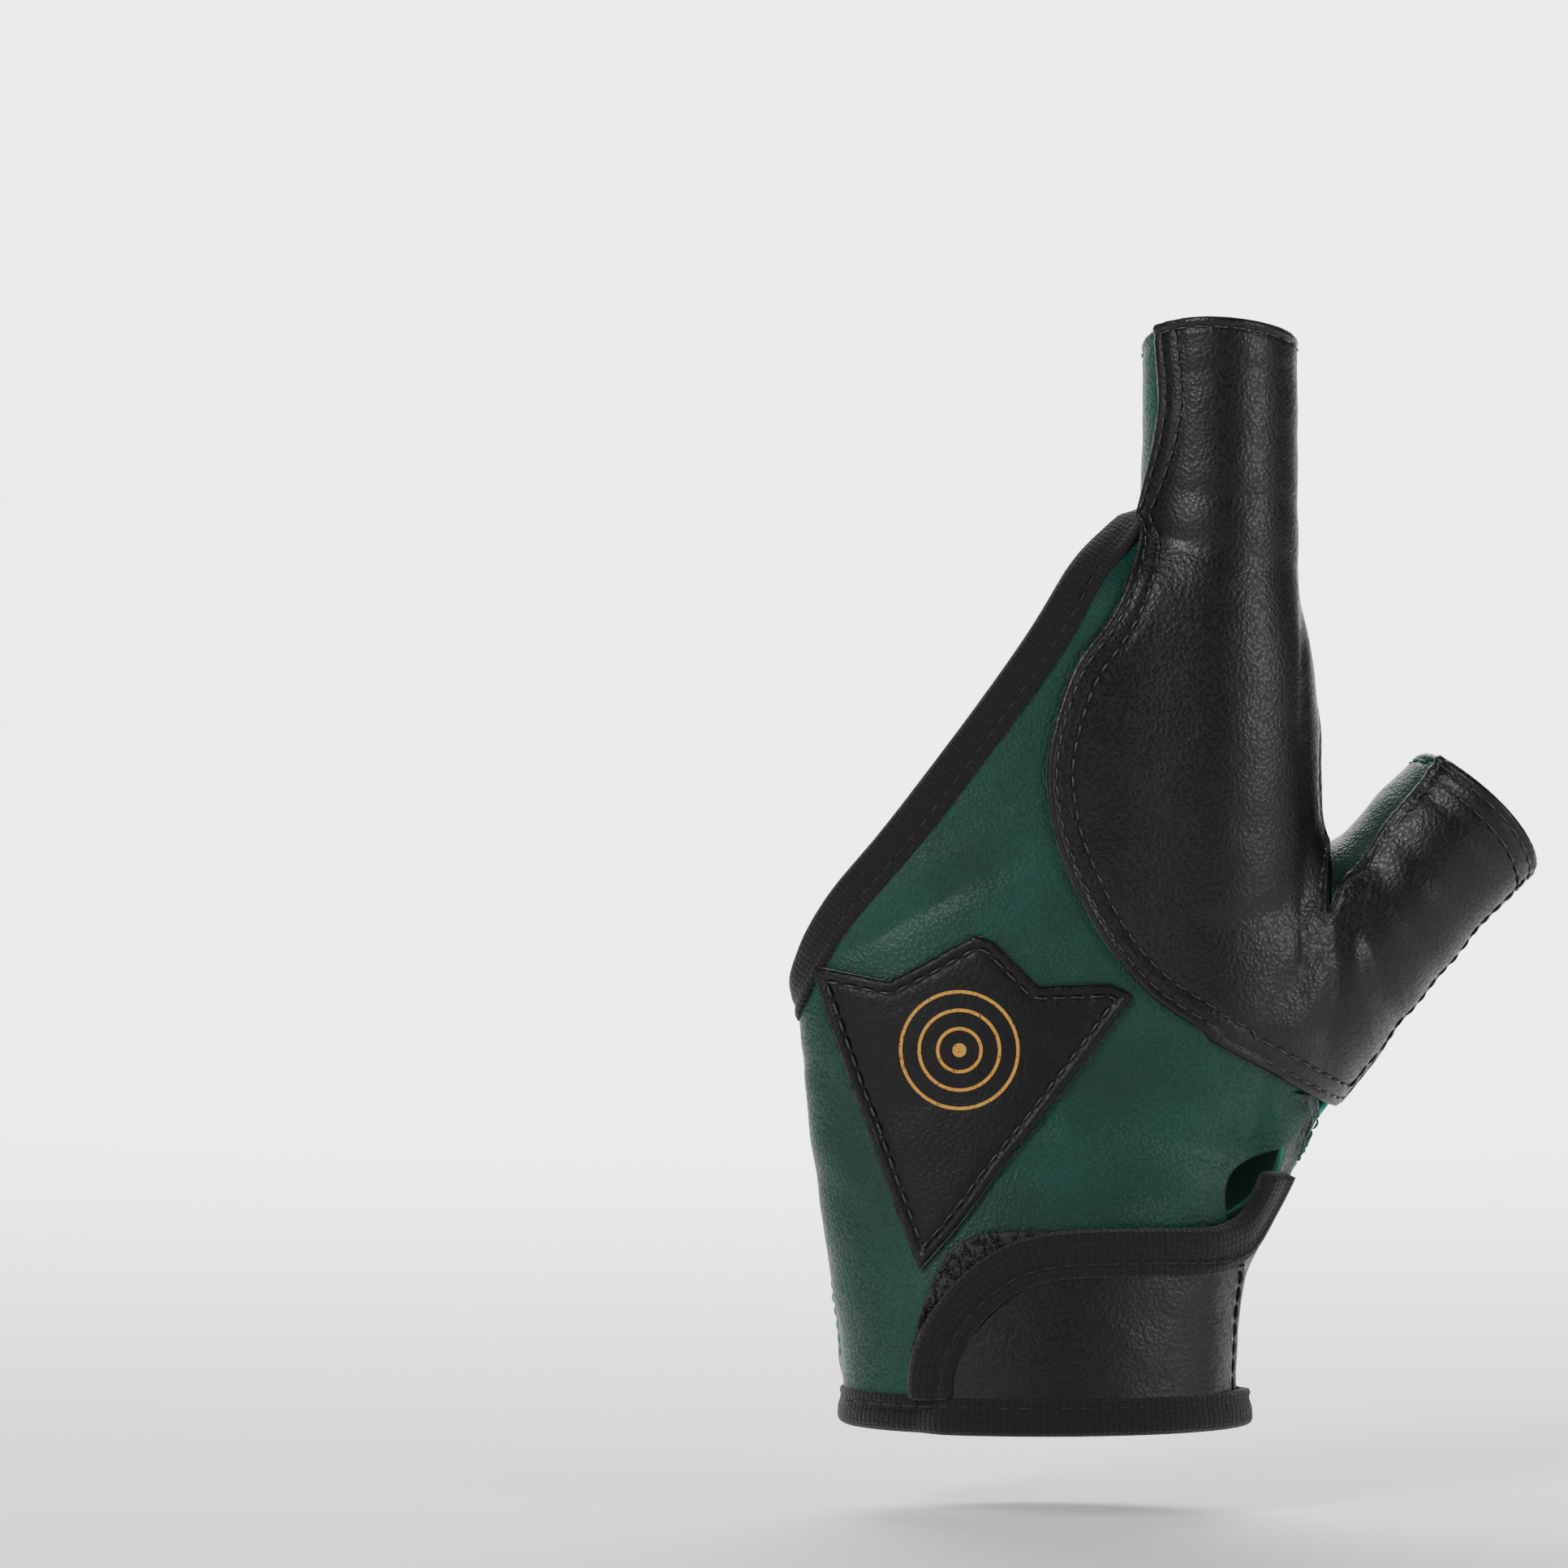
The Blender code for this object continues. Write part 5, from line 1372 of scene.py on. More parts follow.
@dataclass(frozen=True)
class GoatLeather:
    """Aniline goat nappa: a pebbled grain 0.5 to 0.8 mm across under a soft satin finish."""

    name: str
    colour: str
    shade: str
    pebble: float = 0.55 * MM
    bump: float = 0.055 * MM
    roughness: float = 0.46
    specular: float = 0.4
    printed: TargetPrint | None = None

    def material(self) -> bpy.types.Material:
        """Return the leather: pebbles from a Voronoi pattern, creases from stretched noise, mottled dye."""
        material, tree, shader = fresh(self.name)
        place = add_node(tree, "ShaderNodeTexCoord").outputs["Object"]
        warp = add_node(tree, "ShaderNodeTexNoise", {"Vector": place, "Scale": 1 / (1.6 * MM), "Detail": 1.0})
        inputs = {0: warp.outputs["Color"], "Scale": 0.45 * self.pebble}
        push = add_node(tree, "ShaderNodeVectorMath", inputs, operation="SCALE")
        moved = add_node(tree, "ShaderNodeVectorMath", {0: place, 1: push.outputs[0]}, operation="ADD").outputs[0]
        inputs = {"Vector": moved, "Scale": 1 / self.pebble, "Smoothness": 0.35}
        cells = add_node(tree, "ShaderNodeTexVoronoi", inputs, feature="SMOOTH_F1").outputs["Distance"]
        fine = noise_at(tree, place, 0.28 * MM, 2.0)
        inputs = {"Vector": moved, "Rotation": (0.0, 0.35, 0.0), "Scale": (380.0, 380.0, 1300.0)}
        squeezed = add_node(tree, "ShaderNodeMapping", inputs).outputs[0]
        inputs = {"Vector": squeezed, "Scale": 1.0, "Detail": 4.0, "Roughness": 0.6}
        crease = add_node(tree, "ShaderNodeTexNoise", inputs).outputs["Fac"]
        patches = noise_at(tree, place, 17 * MM, 3.0)
        where = ramp(tree, patches, 0.42, 0.66)
        grain = add_node(tree, "ShaderNodeMath", {0: cells, 1: -1.0}, operation="MULTIPLY").outputs[0]
        inputs = {0: fine, 1: 0.35, 2: grain}
        grain = add_node(tree, "ShaderNodeMath", inputs, operation="MULTIPLY_ADD").outputs[0]
        relief = add_node(tree, "ShaderNodeBump", {"Height": grain, "Distance": self.bump * 2, "Strength": 1.0})
        lines = add_node(tree, "ShaderNodeMath", {0: crease, 1: where}, operation="MULTIPLY").outputs[0]
        inputs = {"Height": lines, "Distance": 0.06 * MM, "Strength": 0.8, "Normal": relief.outputs[0]}
        creased = add_node(tree, "ShaderNodeBump", inputs).outputs[0]
        mottle = ramp(tree, patches, 0.30, 0.70)
        pores = ramp(tree, cells, 0.25, 0.75)
        inputs = {0: pores, 1: 0.45, 2: mottle}
        tone = add_node(tree, "ShaderNodeMath", inputs, operation="MULTIPLY_ADD", use_clamp=True)
        colour = add_node(tree, "ShaderNodeMix", {0: tone.outputs[0]}, data_type="RGBA")
        colour.inputs[6].default_value = linear(self.colour)
        colour.inputs[7].default_value = linear(self.shade)
        final = colour.outputs[2]
        inputs = {"Value": pores, "To Min": self.roughness - 0.06, "To Max": self.roughness + 0.12}
        rough = add_node(tree, "ShaderNodeMapRange", inputs).outputs["Result"]
        if self.printed:
            mask = self.printed.mask(tree, place)
            gold = add_node(tree, "ShaderNodeMix", {0: mask}, data_type="RGBA")
            tree.links.new(final, gold.inputs[6])
            gold.inputs[7].default_value = linear(self.printed.colour)
            final = gold.outputs[2]
        tree.links.new(final, shader.inputs["Base Color"])
        tree.links.new(rough, shader.inputs["Roughness"])
        tree.links.new(creased, shader.inputs["Normal"])
        shader.inputs["Specular IOR Level"].default_value = self.specular
        return material


@dataclass(frozen=True)
class Suede:
    """Flesh side or cut edge of leather: a matt, slightly fuzzy nap in the dye's paler tone."""

    name: str
    colour: str
    nap: float = 0.35 * MM

    def material(self) -> bpy.types.Material:
        """Return the nap: fine noise in height and tone, with a little sheen."""
        material, tree, shader = fresh(self.name)
        place = add_node(tree, "ShaderNodeTexCoord").outputs["Object"]
        height = noise_at(tree, place, self.nap, 3.0)
        bump = add_node(tree, "ShaderNodeBump", {"Height": height, "Distance": 0.12 * MM})
        tree.links.new(bump.outputs[0], shader.inputs["Normal"])
        shader.inputs["Base Color"].default_value = linear(self.colour)
        shader.inputs["Roughness"].default_value = 0.92
        shader.inputs["Sheen Weight"].default_value = 0.25
        return material


@dataclass(frozen=True)
class RibKnit:
    """Warp-knitted polyester binding: columns of small loops 0.6 mm apart along the band."""

    name: str = "black knitted polyester binding"
    colour: str = "#0E0D12"
    gap: str = "#040305"
    wale: float = 0.62 * MM
    course: float = 0.95 * MM

    def material(self) -> bpy.types.Material:
        """Return the knit on the band's own UV map: loops as a nearly regular Voronoi pattern."""
        material, tree, shader = fresh(self.name)
        along = add_node(tree, "ShaderNodeUVMap", uv_map="knit").outputs["UV"]
        inputs = {"Vector": along, "Scale": (1 / self.course, 1 / self.wale, 1.0)}
        scaled = add_node(tree, "ShaderNodeMapping", inputs)
        inputs = {"Vector": scaled.outputs[0], "Scale": 1.0, "Randomness": 0.22}
        loops = add_node(tree, "ShaderNodeTexVoronoi", inputs, voronoi_dimensions="2D").outputs["Distance"]
        place = add_node(tree, "ShaderNodeTexCoord").outputs["Object"]
        inputs = {0: loops, 1: -1.0, 2: noise_at(tree, place, 0.3 * MM, 2.0)}
        height = add_node(tree, "ShaderNodeMath", inputs, operation="MULTIPLY_ADD").outputs[0]
        bump = add_node(tree, "ShaderNodeBump", {"Height": height, "Distance": 0.26 * MM})
        colour = add_node(tree, "ShaderNodeMix", {0: ramp(tree, loops, 0.28, 0.62)}, data_type="RGBA")
        colour.inputs[6].default_value = linear(self.colour)
        colour.inputs[7].default_value = linear(self.gap)
        tree.links.new(colour.outputs[2], shader.inputs["Base Color"])
        tree.links.new(bump.outputs[0], shader.inputs["Normal"])
        shader.inputs["Roughness"].default_value = 0.78
        shader.inputs["Specular IOR Level"].default_value = 0.25
        shader.inputs["Sheen Weight"].default_value = 0.12
        return material


@dataclass(frozen=True)
class SpunThread:
    """Bonded polyester sewing thread, its twist too fine to show."""

    name: str
    colour: str
    roughness: float = 0.55

    def material(self) -> bpy.types.Material:
        """Return the thread, with strand-sized noise in its height."""
        material, tree, shader = fresh(self.name)
        place = add_node(tree, "ShaderNodeTexCoord").outputs["Object"]
        noise = add_node(tree, "ShaderNodeTexNoise", {"Vector": place, "Scale": 1 / (0.2 * MM)}).outputs["Fac"]
        bump = add_node(tree, "ShaderNodeBump", {"Height": noise, "Distance": 0.06 * MM})
        tree.links.new(bump.outputs[0], shader.inputs["Normal"])
        shader.inputs["Base Color"].default_value = linear(self.colour)
        shader.inputs["Roughness"].default_value = self.roughness
        return material


@dataclass
class GreenPanels:
    """Back panel, palm panel and thumb piece of green leather."""

    weaver: Weaver
    hem: float = 5.2 * MM
    tongue_rows: tuple[float, ...] = (1.5 * MM, 3.1 * MM)
    seam_line: np.ndarray = field(default_factory=lambda: np.zeros((0, 3)))
    finger_end: np.ndarray = field(default_factory=lambda: np.zeros((0, 3)))
    thumb_end: np.ndarray = field(default_factory=lambda: np.zeros((0, 3)))

    def near_seam(self, points: np.ndarray) -> np.ndarray:
        """Return 1 near the seam of palm panel and thumb piece on the palm side, 0 away from it."""
        x, y, z = points[:, 0], points[:, 1], points[:, 2]
        nearest = np.full(len(points), 1.0)
        for edge in (PALM_SEAM[2:10], TONGUE_LEFT[::-1], TONGUE_RIGHT[:4], EAR_EDGE[:6]):
            line = [self.weaver.form.spot(*row[:3]) for row in edge]
            for start, end in zip(line[:-1], line[1:]):
                nearest = np.minimum(nearest, off_segment(x, z, (*start, *end)))
        return (1 - step_up(nearest, 6 * MM, 15 * MM)) * step_up(y, -2.5 * MM, 1.6 * MM)

    def lapped(self, points: np.ndarray) -> np.ndarray:
        """Return the height of the back panel, one lap up where it is sewn over the palm panel at the slit."""
        x, z = points[:, 0], points[:, 2]
        over = step_up(z, 43.5 * MM, 45.5 * MM) * (1 - step_up(z, 50.5 * MM, 52.5 * MM))
        return LAP * step_up(x, 34 * MM, 36.5 * MM) * over

    def build(self, opening: np.ndarray, grain: Leather, palm_grain: Leather) -> None:
        """Build the three panels between the hem, the opening's band and the facing.

        Args:
            opening: middle line of the band round the finger opening.
            grain: leather, flesh side and cut edge of the back panel.
            palm_grain: the same of the palm panel and the thumb piece.
        """
        weaver, form = self.weaver, self.weaver.form
        edge = form.level_edge
        back_left, palm_left = opening_edges(form, opening)
        bottom, top, step = self.hem, form.top, weaver.step
        around = np.concatenate([opening[:, 2].min() + EDGE_STEPS[:5], opening[:, 2].max() - EDGE_STEPS[:5]])
        end_finish = EdgeFinish(rows=(1.7 * MM,), swell=0.2 * MM)
        rows = np.unique(np.concatenate([rows_between(bottom, top, step, "high"), around]))
        back = weaver.level(rows, back_left, edge(BACK_RIGHT), 62)
        piece = wall("back_leather", form, [back], self.lapped, LEATHER, [(back[-1], end_finish)], grain)
        show(piece, "green_leather_back", "back_panel")

        split, apex = EAR_EDGE[0][2] * form.palm_length, TONGUE_LEFT[-1][2] * form.palm_length
        ear_top, notch = EAR_EDGE[-1][2] * form.palm_length, TONGUE_LEFT[0][2] * form.palm_length
        seam = edge(PALM_SEAM)
        low = rows_between(bottom, split, step)
        high = np.unique(np.concatenate([rows_between(apex, top, step, "high"), around[around > apex]]))
        near = around[(around < apex) & (around > split)]
        middle = np.unique(np.concatenate([rows_between(split, apex, step), near]))
        every = np.unique(np.concatenate([low, middle, high]))
        ear = np.unique(np.concatenate([rows_between(split, ear_top, step), split + EDGE_STEPS[1:5]]))
        main = weaver.level(every, palm_left, seam, 62)
        upper = weaver.level(high, seam, edge(PALM_HIGH_RIGHT), 16)
        rows = rows_between(notch, apex, 0.6 * step, "low")
        tongue = weaver.level(rows, edge(TONGUE_LEFT), edge(TONGUE_RIGHT), 16)
        lower = weaver.level(low, seam, edge(PALM_LOW_RIGHT), 24)
        flank = weaver.level(ear, edge(EAR_EDGE), edge(PALM_LOW_RIGHT), 24)
        of_main = main[(every >= split - 1e-9) & (every <= apex + 1e-9), -1]
        cut = np.concatenate([tongue[0, ::-1], tongue[1:, 0], of_main[::-1][1:], flank[1:, 0]])
        self.seam_line = cut
        self.finger_end = np.concatenate([main[-1], upper[-1, 1:]])
        turned = EdgeFinish(rows=self.tongue_rows, pull=0.3 * MM, round_off=0.1 * MM)
        edges = [(cut, turned), (self.finger_end, end_finish)]
        grids = [main, lower, flank, tongue, upper]
        raised = lambda points: LAP * self.near_seam(points)
        piece = wall("palm_leather", form, grids, raised, LEATHER, edges, palm_grain)
        show(piece, "green_leather_palm", "palm_panel")

        bows = np.array(THUMB_BOWS) * form.palm_length
        fan = weaver.fan(THUMB_ROWS, 78, np.array(THUMB_SINKS) * form.depth)
        wrap = weaver.fanned(fan, fan["starts"], fan["ends"], 52, bows, form.end_slant)
        flap = smooth(fan["at"], fan["run"], np.radians(THUMB_FLAP))
        first = int(np.argmax(fan["at"] > fan["run"][4])) - 1
        flap[first] = fan["ends"][first]
        over = weaver.fanned(fan, fan["ends"], flap, 10, None, form.end_slant, slice(first, None))
        self.thumb_end = np.concatenate([wrap[-1], over[-1, 1:]])
        sunk = lambda points: -0.25 * MM * self.near_seam(points)
        edges = [(self.thumb_end, end_finish)]
        piece = wall("thumb_leather", form, [wrap, over], sunk, LEATHER, edges, palm_grain)
        show(piece, "green_leather_thumb", "thumb_piece")

    def sew(self, dark: Thread, bright: Thread) -> None:
        """Sew the cut edge over the thumb piece, the two ends' hems and the elastic zigzag.

        Args:
            dark: dark green thread.
            bright: teal thread.
        """
        form = self.weaver.form
        for row in self.tongue_rows:
            sides = [beside(form, self.seam_line, sign * row) for sign in (-1, 1)]
            seam = sides[0] if self.on_panel(sides[0]) else sides[1]
            dark.sew(seam, LEATHER + LAP - 0.05 * MM, 2.3 * MM)
        for end in (self.finger_end, self.thumb_end):
            sides = [beside(form, end, sign * 1.7 * MM) for sign in (-1, 1)]
            centre = np.array([form.finger_place, 0.0, form.palm_length])
            inner = min(sides, key=lambda line: np.linalg.norm(line.mean(0) - centre))
            dark.sew(inner, LEATHER)
        x = np.linspace(-27.5, 28.5, 13) * MM
        z = np.where(np.arange(13) % 2 == 0, 27.2, 22.0) * MM
        keys = np.stack([np.interp(np.linspace(0, 12, 145), np.arange(13), values) for values in (x, z)])
        origins = np.stack([keys[0], form.mid_depth(keys[0], keys[1]), keys[1]], axis=-1)
        bright.sew(form.cast(origins, np.array([0.0, 1.0, 0.0])), LEATHER + 0.12 * MM, 1.9 * MM)
        heights = np.linspace(10 * MM, 66 * MM, 90)
        side = form.on_level_rows(heights, np.full(90, math.pi - 0.07))
        bright.sew(side, LEATHER, 2.2 * MM)

    def on_panel(self, line: np.ndarray) -> bool:
        """Return whether a line beside the cut edge lies on the palm panel's side of it: higher at the thumb."""
        thumb = np.array([[self.weaver.form.thumb_place, 14 * MM, 62 * MM]])
        return bool(off_line(thumb, line)[0] > off_line(thumb, self.seam_line)[0])


@dataclass
class BlackPieces:
    """Facing of the index finger and thumb and the arrowhead patch, of black leather."""

    weaver: Weaver
    facing: np.ndarray = field(default_factory=lambda: np.zeros((0, 0, 3)))
    patch: np.ndarray = field(default_factory=lambda: np.zeros((0, 0, 3)))

    def build(self, leather: Leather, printed: Leather) -> None:
        """Build the facing with its turned edges, and the patch.

        Args:
            leather: grain, flesh side and edge of the facing.
            printed: the same of the patch, with its gold print.
        """
        weaver, form = self.weaver, self.weaver.form
        fan = weaver.fan(FACING_ROWS, 190)
        grid = weaver.fanned(fan, fan["starts"], fan["ends"], 34, slant=form.end_slant)
        self.facing = grid
        double = EdgeFinish(rows=(1.5 * MM, 4.0 * MM), swell=0.25 * MM)
        single = EdgeFinish(rows=(1.5 * MM,), swell=0.2 * MM)
        edges = [(grid[:, 0], double), (grid[:, -1], single), (grid[0], single), (grid[-1], double)]
        piece = wall("facing_leather", form, [grid], LAP, LEATHER, edges, leather)
        show(piece, "black_leather_facing", "finger_thumb_facing")

        place = PATCH["place"] * form.breadth
        x = rows_between(place[0], place[-1], 0.5 * MM, "low high")
        low, high = (np.interp(x, place, PATCH[name] * form.palm_length) for name in ("low", "high"))
        low, high = np.minimum(low, high - 0.4 * MM), np.maximum(low + 0.4 * MM, high)
        z = np.array([under + lined_up(over - under, 26) for under, over in zip(low, high)])
        grid = weaver.front(np.repeat(x[:, None], z.shape[1], axis=1), z)
        self.patch = np.concatenate([grid[:, 0], grid[-1, 1:], grid[::-1, -1], grid[0, ::-1]])
        turned = EdgeFinish(rows=(1.9 * MM,), pull=0.32 * MM, swell=0.3 * MM)
        piece = wall("patch_leather", form, [grid], LAP, LEATHER, [(self.patch, turned)], printed)
        show(piece, "black_leather_patch", "emblem_patch")

    def sew(self, black: Thread) -> None:
        """Sew the facing's and the patch's edges with black thread."""
        form, grid, level = self.weaver.form, self.facing, LAP + LEATHER
        along, across = grid[:, grid.shape[1] // 2], grid[len(grid) // 2]
        double = (1.5 * MM, 4.0 * MM)
        seams = (
            (grid[:, 0], along, 0.05 * MM, double),
            (grid[:, -1], along, 0.18 * MM, double[:1]),
            (grid[0], across, 0.05 * MM, (1.6 * MM,)),
            (grid[-1], across, 0.05 * MM, double),
        )
        for line, centre, sunk, rows in seams:
            for row in rows:
                sides = [beside(form, line, sign * row) for sign in (-1, 1)]
                inner = sides[int(np.argmin([off_line(side, centre).mean() for side in sides]))]
                black.sew(inner, level - sunk)
        sides = [beside(form, self.patch, sign * 1.9 * MM) for sign in (-1, 1)]
        inner = min(sides, key=lambda side: run_of(side)[-1])
        black.sew(inner, level - 0.05 * MM, 2.9 * MM)


@dataclass
class WristFastening:
    """Closure tab with its band, and the pile strip under it."""

    weaver: Weaver
    hem: float = 5.9 * MM
    free: float = 2.35 * MM
    tab: np.ndarray = field(default_factory=lambda: np.zeros((0, 0, 3)))
    band_line: np.ndarray = field(default_factory=lambda: np.zeros((0, 3)))

    def level(self, points: np.ndarray) -> np.ndarray:
        """Return the tab's height: over the pile, then down onto the palm panel at its sewn end."""
        down = step_up(points[:, 0], 24 * MM, 30 * MM)
        return mix(self.free, LAP, down)

    def build(self, leather: Leather, knit: bpy.types.Material, pile: bpy.types.Material) -> None:
        """Build the pile strip, the tab and the tab's band.

        Args:
            leather: grain, flesh side and edge of the tab.
            knit: the band's knit.
            pile: the strip's backing and loops.
        """
        weaver, form = self.weaver, self.weaver.form
        place = PILE["place"] * form.breadth
        x = rows_between(place[0], place[-1], 0.8 * MM)
        high = smooth(x, place, PILE["high"] * form.palm_length)
        z = mix(PILE["low"][0] * form.palm_length, high[:, None], np.linspace(0, 1, 30))
        grid = weaver.front(np.repeat(x[:, None], 30, axis=1), z)
        show(wall("pile_strip", form, [grid], LAP, 0.9 * MM, [], [pile] * 3), "loop_pile", "loop_patch")
        self.loops(x, high, pile)

        place = TAB_TOP["place"] * form.breadth
        x = rows_between(place[0], place[-1], 0.8 * MM, "high")
        top = smooth(x, place, TAB_TOP["top"] * form.palm_length) + 1.5 * MM
        z = mix(self.hem - 1.5 * MM, top[:, None], np.linspace(0, 1, 34))
        spine = form.level_spine(np.array([15 * MM]))[0]
        turns = np.array([form.find_turn(spine, 0.0, across, 15 * MM, BACK) for across in x])
        points = form.on_level_rows(z.ravel(), np.repeat(turns, 34)).reshape(*z.shape, 3)
        self.tab = points
        edges = [(points[-1], EdgeFinish(rows=(1.6 * MM,)))]
        piece = wall("tab_leather", form, [points], self.level, 1.1 * MM, edges, leather)
        show(piece, "black_leather_tab", "closure_tab")

        keys = np.array([form.spot(*row[:3]) for row in TAB_BAND])
        run = np.concatenate([[0], np.cumsum(np.linalg.norm(np.diff(keys, axis=0), axis=-1))])
        at = np.linspace(0, run[-1], round(run[-1] / (0.8 * MM)))
        x, z = smooth(at, run, keys[:, 0]), smooth(at, run, keys[:, 1])
        weights = np.exp(-((np.arange(-8, 9) / 4.5) ** 2))
        weights = weights / weights.sum()
        x, z = (np.convolve(np.pad(values, 8, mode="edge"), weights, mode="valid") for values in (x, z))
        line = self.band_line = weaver.front(x, z)
        band = KnitBand(form, width=7.6 * MM, thickness=2.9 * MM, seam=2.2 * MM)
        curl = 1.2 * MM * step_up(at / run[-1], 0.86, 1.0)
        lift = self.level(line) + 0.2 * MM + curl
        band.make("tab_band", line, knit, "knit_tab", "tab_binding", -1.0, False, lift)

    def loops(self, x: np.ndarray, high: np.ndarray, pile: bpy.types.Material) -> None:
        """Build the pile's loops: short arches of thread in seeded random places and directions."""
        rng = np.random.default_rng(5)
        form, count = self.weaver.form, 950
        place = rng.uniform(x[0] + 0.4 * MM, 2 * MM, count)
        height = rng.uniform(8 * MM, np.interp(place, x, high) - 0.3 * MM)
        turn = rng.uniform(0, math.pi, count)
        share = np.linspace(-0.5, 0.5, 5)[:, None]
        xs = place + share * np.cos(turn) * 1.1 * MM
        zs = height + share * np.sin(turn) * 1.1 * MM
        points = self.weaver.front(xs.T, zs.T)
        fuzz = Thread(form, radius=0.11 * MM)
        fuzz.paths.append(points)
        arch = np.sin(np.pi * (share[:, 0] + 0.5)) * rng.uniform(0.5, 1.1, count)[:, None] * MM
        fuzz.lifts.append(LAP + 0.75 * MM + arch + worn(points))
        fuzz.make("pile_loops", pile, "loop_pile")

    def sew(self, black: Thread) -> None:
        """Sew the tab's band and its end."""
        form = self.weaver.form
        line = beside(form, self.band_line, 1.7 * MM)
        below = beside(form, self.band_line, -1.7 * MM)
        inner = line if line[len(line) // 2, 2] < below[len(below) // 2, 2] else below
        kept = inner[inner[:, 0] < 30 * MM]
        black.sew(kept, self.free + 1.75 * MM, 3.0 * MM)
        black.sew(beside(form, self.tab[-1], 1.6 * MM), LAP + 1.1 * MM, 2.9 * MM)


@dataclass
class Bindings:
    """Knit bands round the finger opening and the hem."""

    form: HandForm
    opening: np.ndarray
    hem_width: float = 6.0 * MM

    def build(self, knit: bpy.types.Material) -> None:
        """Build both bands."""
        form = self.form
        along = np.roll(self.opening, -1, axis=0) - np.roll(self.opening, 1, axis=0)
        across = np.cross(form.normals(self.opening), along)
        outward = (across * (self.opening - self.opening.mean(axis=0))).sum()
        side = 1.0 if outward > 0 else -1.0
        KnitBand(form).make("opening_band", self.opening, knit, "knit_opening", "opening_binding", side, True)
        line = self.hem_line()
        under_tab = step_up(line[:, 0], -20 * MM, -14 * MM) * step_up(-line[:, 1], 0.0, 3 * MM)
        band = KnitBand(form, width=self.hem_width, thickness=2.6 * MM, seam=1.5 * MM)
        up = float(np.cross(form.normals(line[:1]), line[1:2] - line[-1:])[0, 2])
        lift = under_tab * 2.2 * MM - self.sway(line)
        band.make("hem_band", line, knit, "knit_hem", "hem_binding", math.copysign(1.0, up), True, lift)

    def hem_line(self) -> np.ndarray:
        """Return the middle line of the hem's band, once round the wrist."""
        turns = np.linspace(0, 2 * math.pi, 241)[:-1]
        return self.form.on_level_rows(np.full(240, self.hem_width / 2), turns)

    def sway(self, line: np.ndarray) -> np.ndarray:
        """Return how far the hem is drawn in on the palm side."""
        return 0.4 * MM * step_up(line[:, 1], 5 * MM, 15 * MM) * (1 + ripple(line[:, 0], line[:, 1], 9 * MM))

    def sew(self, black: Thread) -> None:
        """Sew through both bands beside their leather edges."""
        form = self.form
        round_once = np.concatenate([self.opening, self.opening[:1]])
        sides = [beside(form, round_once, sign * 1.4 * MM) for sign in (-1, 1)]
        black.sew(max(sides, key=lambda side: run_of(side)[-1]), LEATHER / 2 + 0.75 * MM, 2.9 * MM)
        line = self.hem_line()
        palm = beside(form, np.roll(line, 60, axis=0), 0.0)
        raised = form.settle(palm + np.array([0.0, 0.0, 1.5 * MM]))
        black.sew(raised[raised[:, 1] > -6 * MM], LEATHER / 2 + 0.75 * MM, 2.9 * MM)
        black.sew(raised[raised[:, 1] <= -6 * MM], LEATHER / 2 + 2.9 * MM, 2.9 * MM)


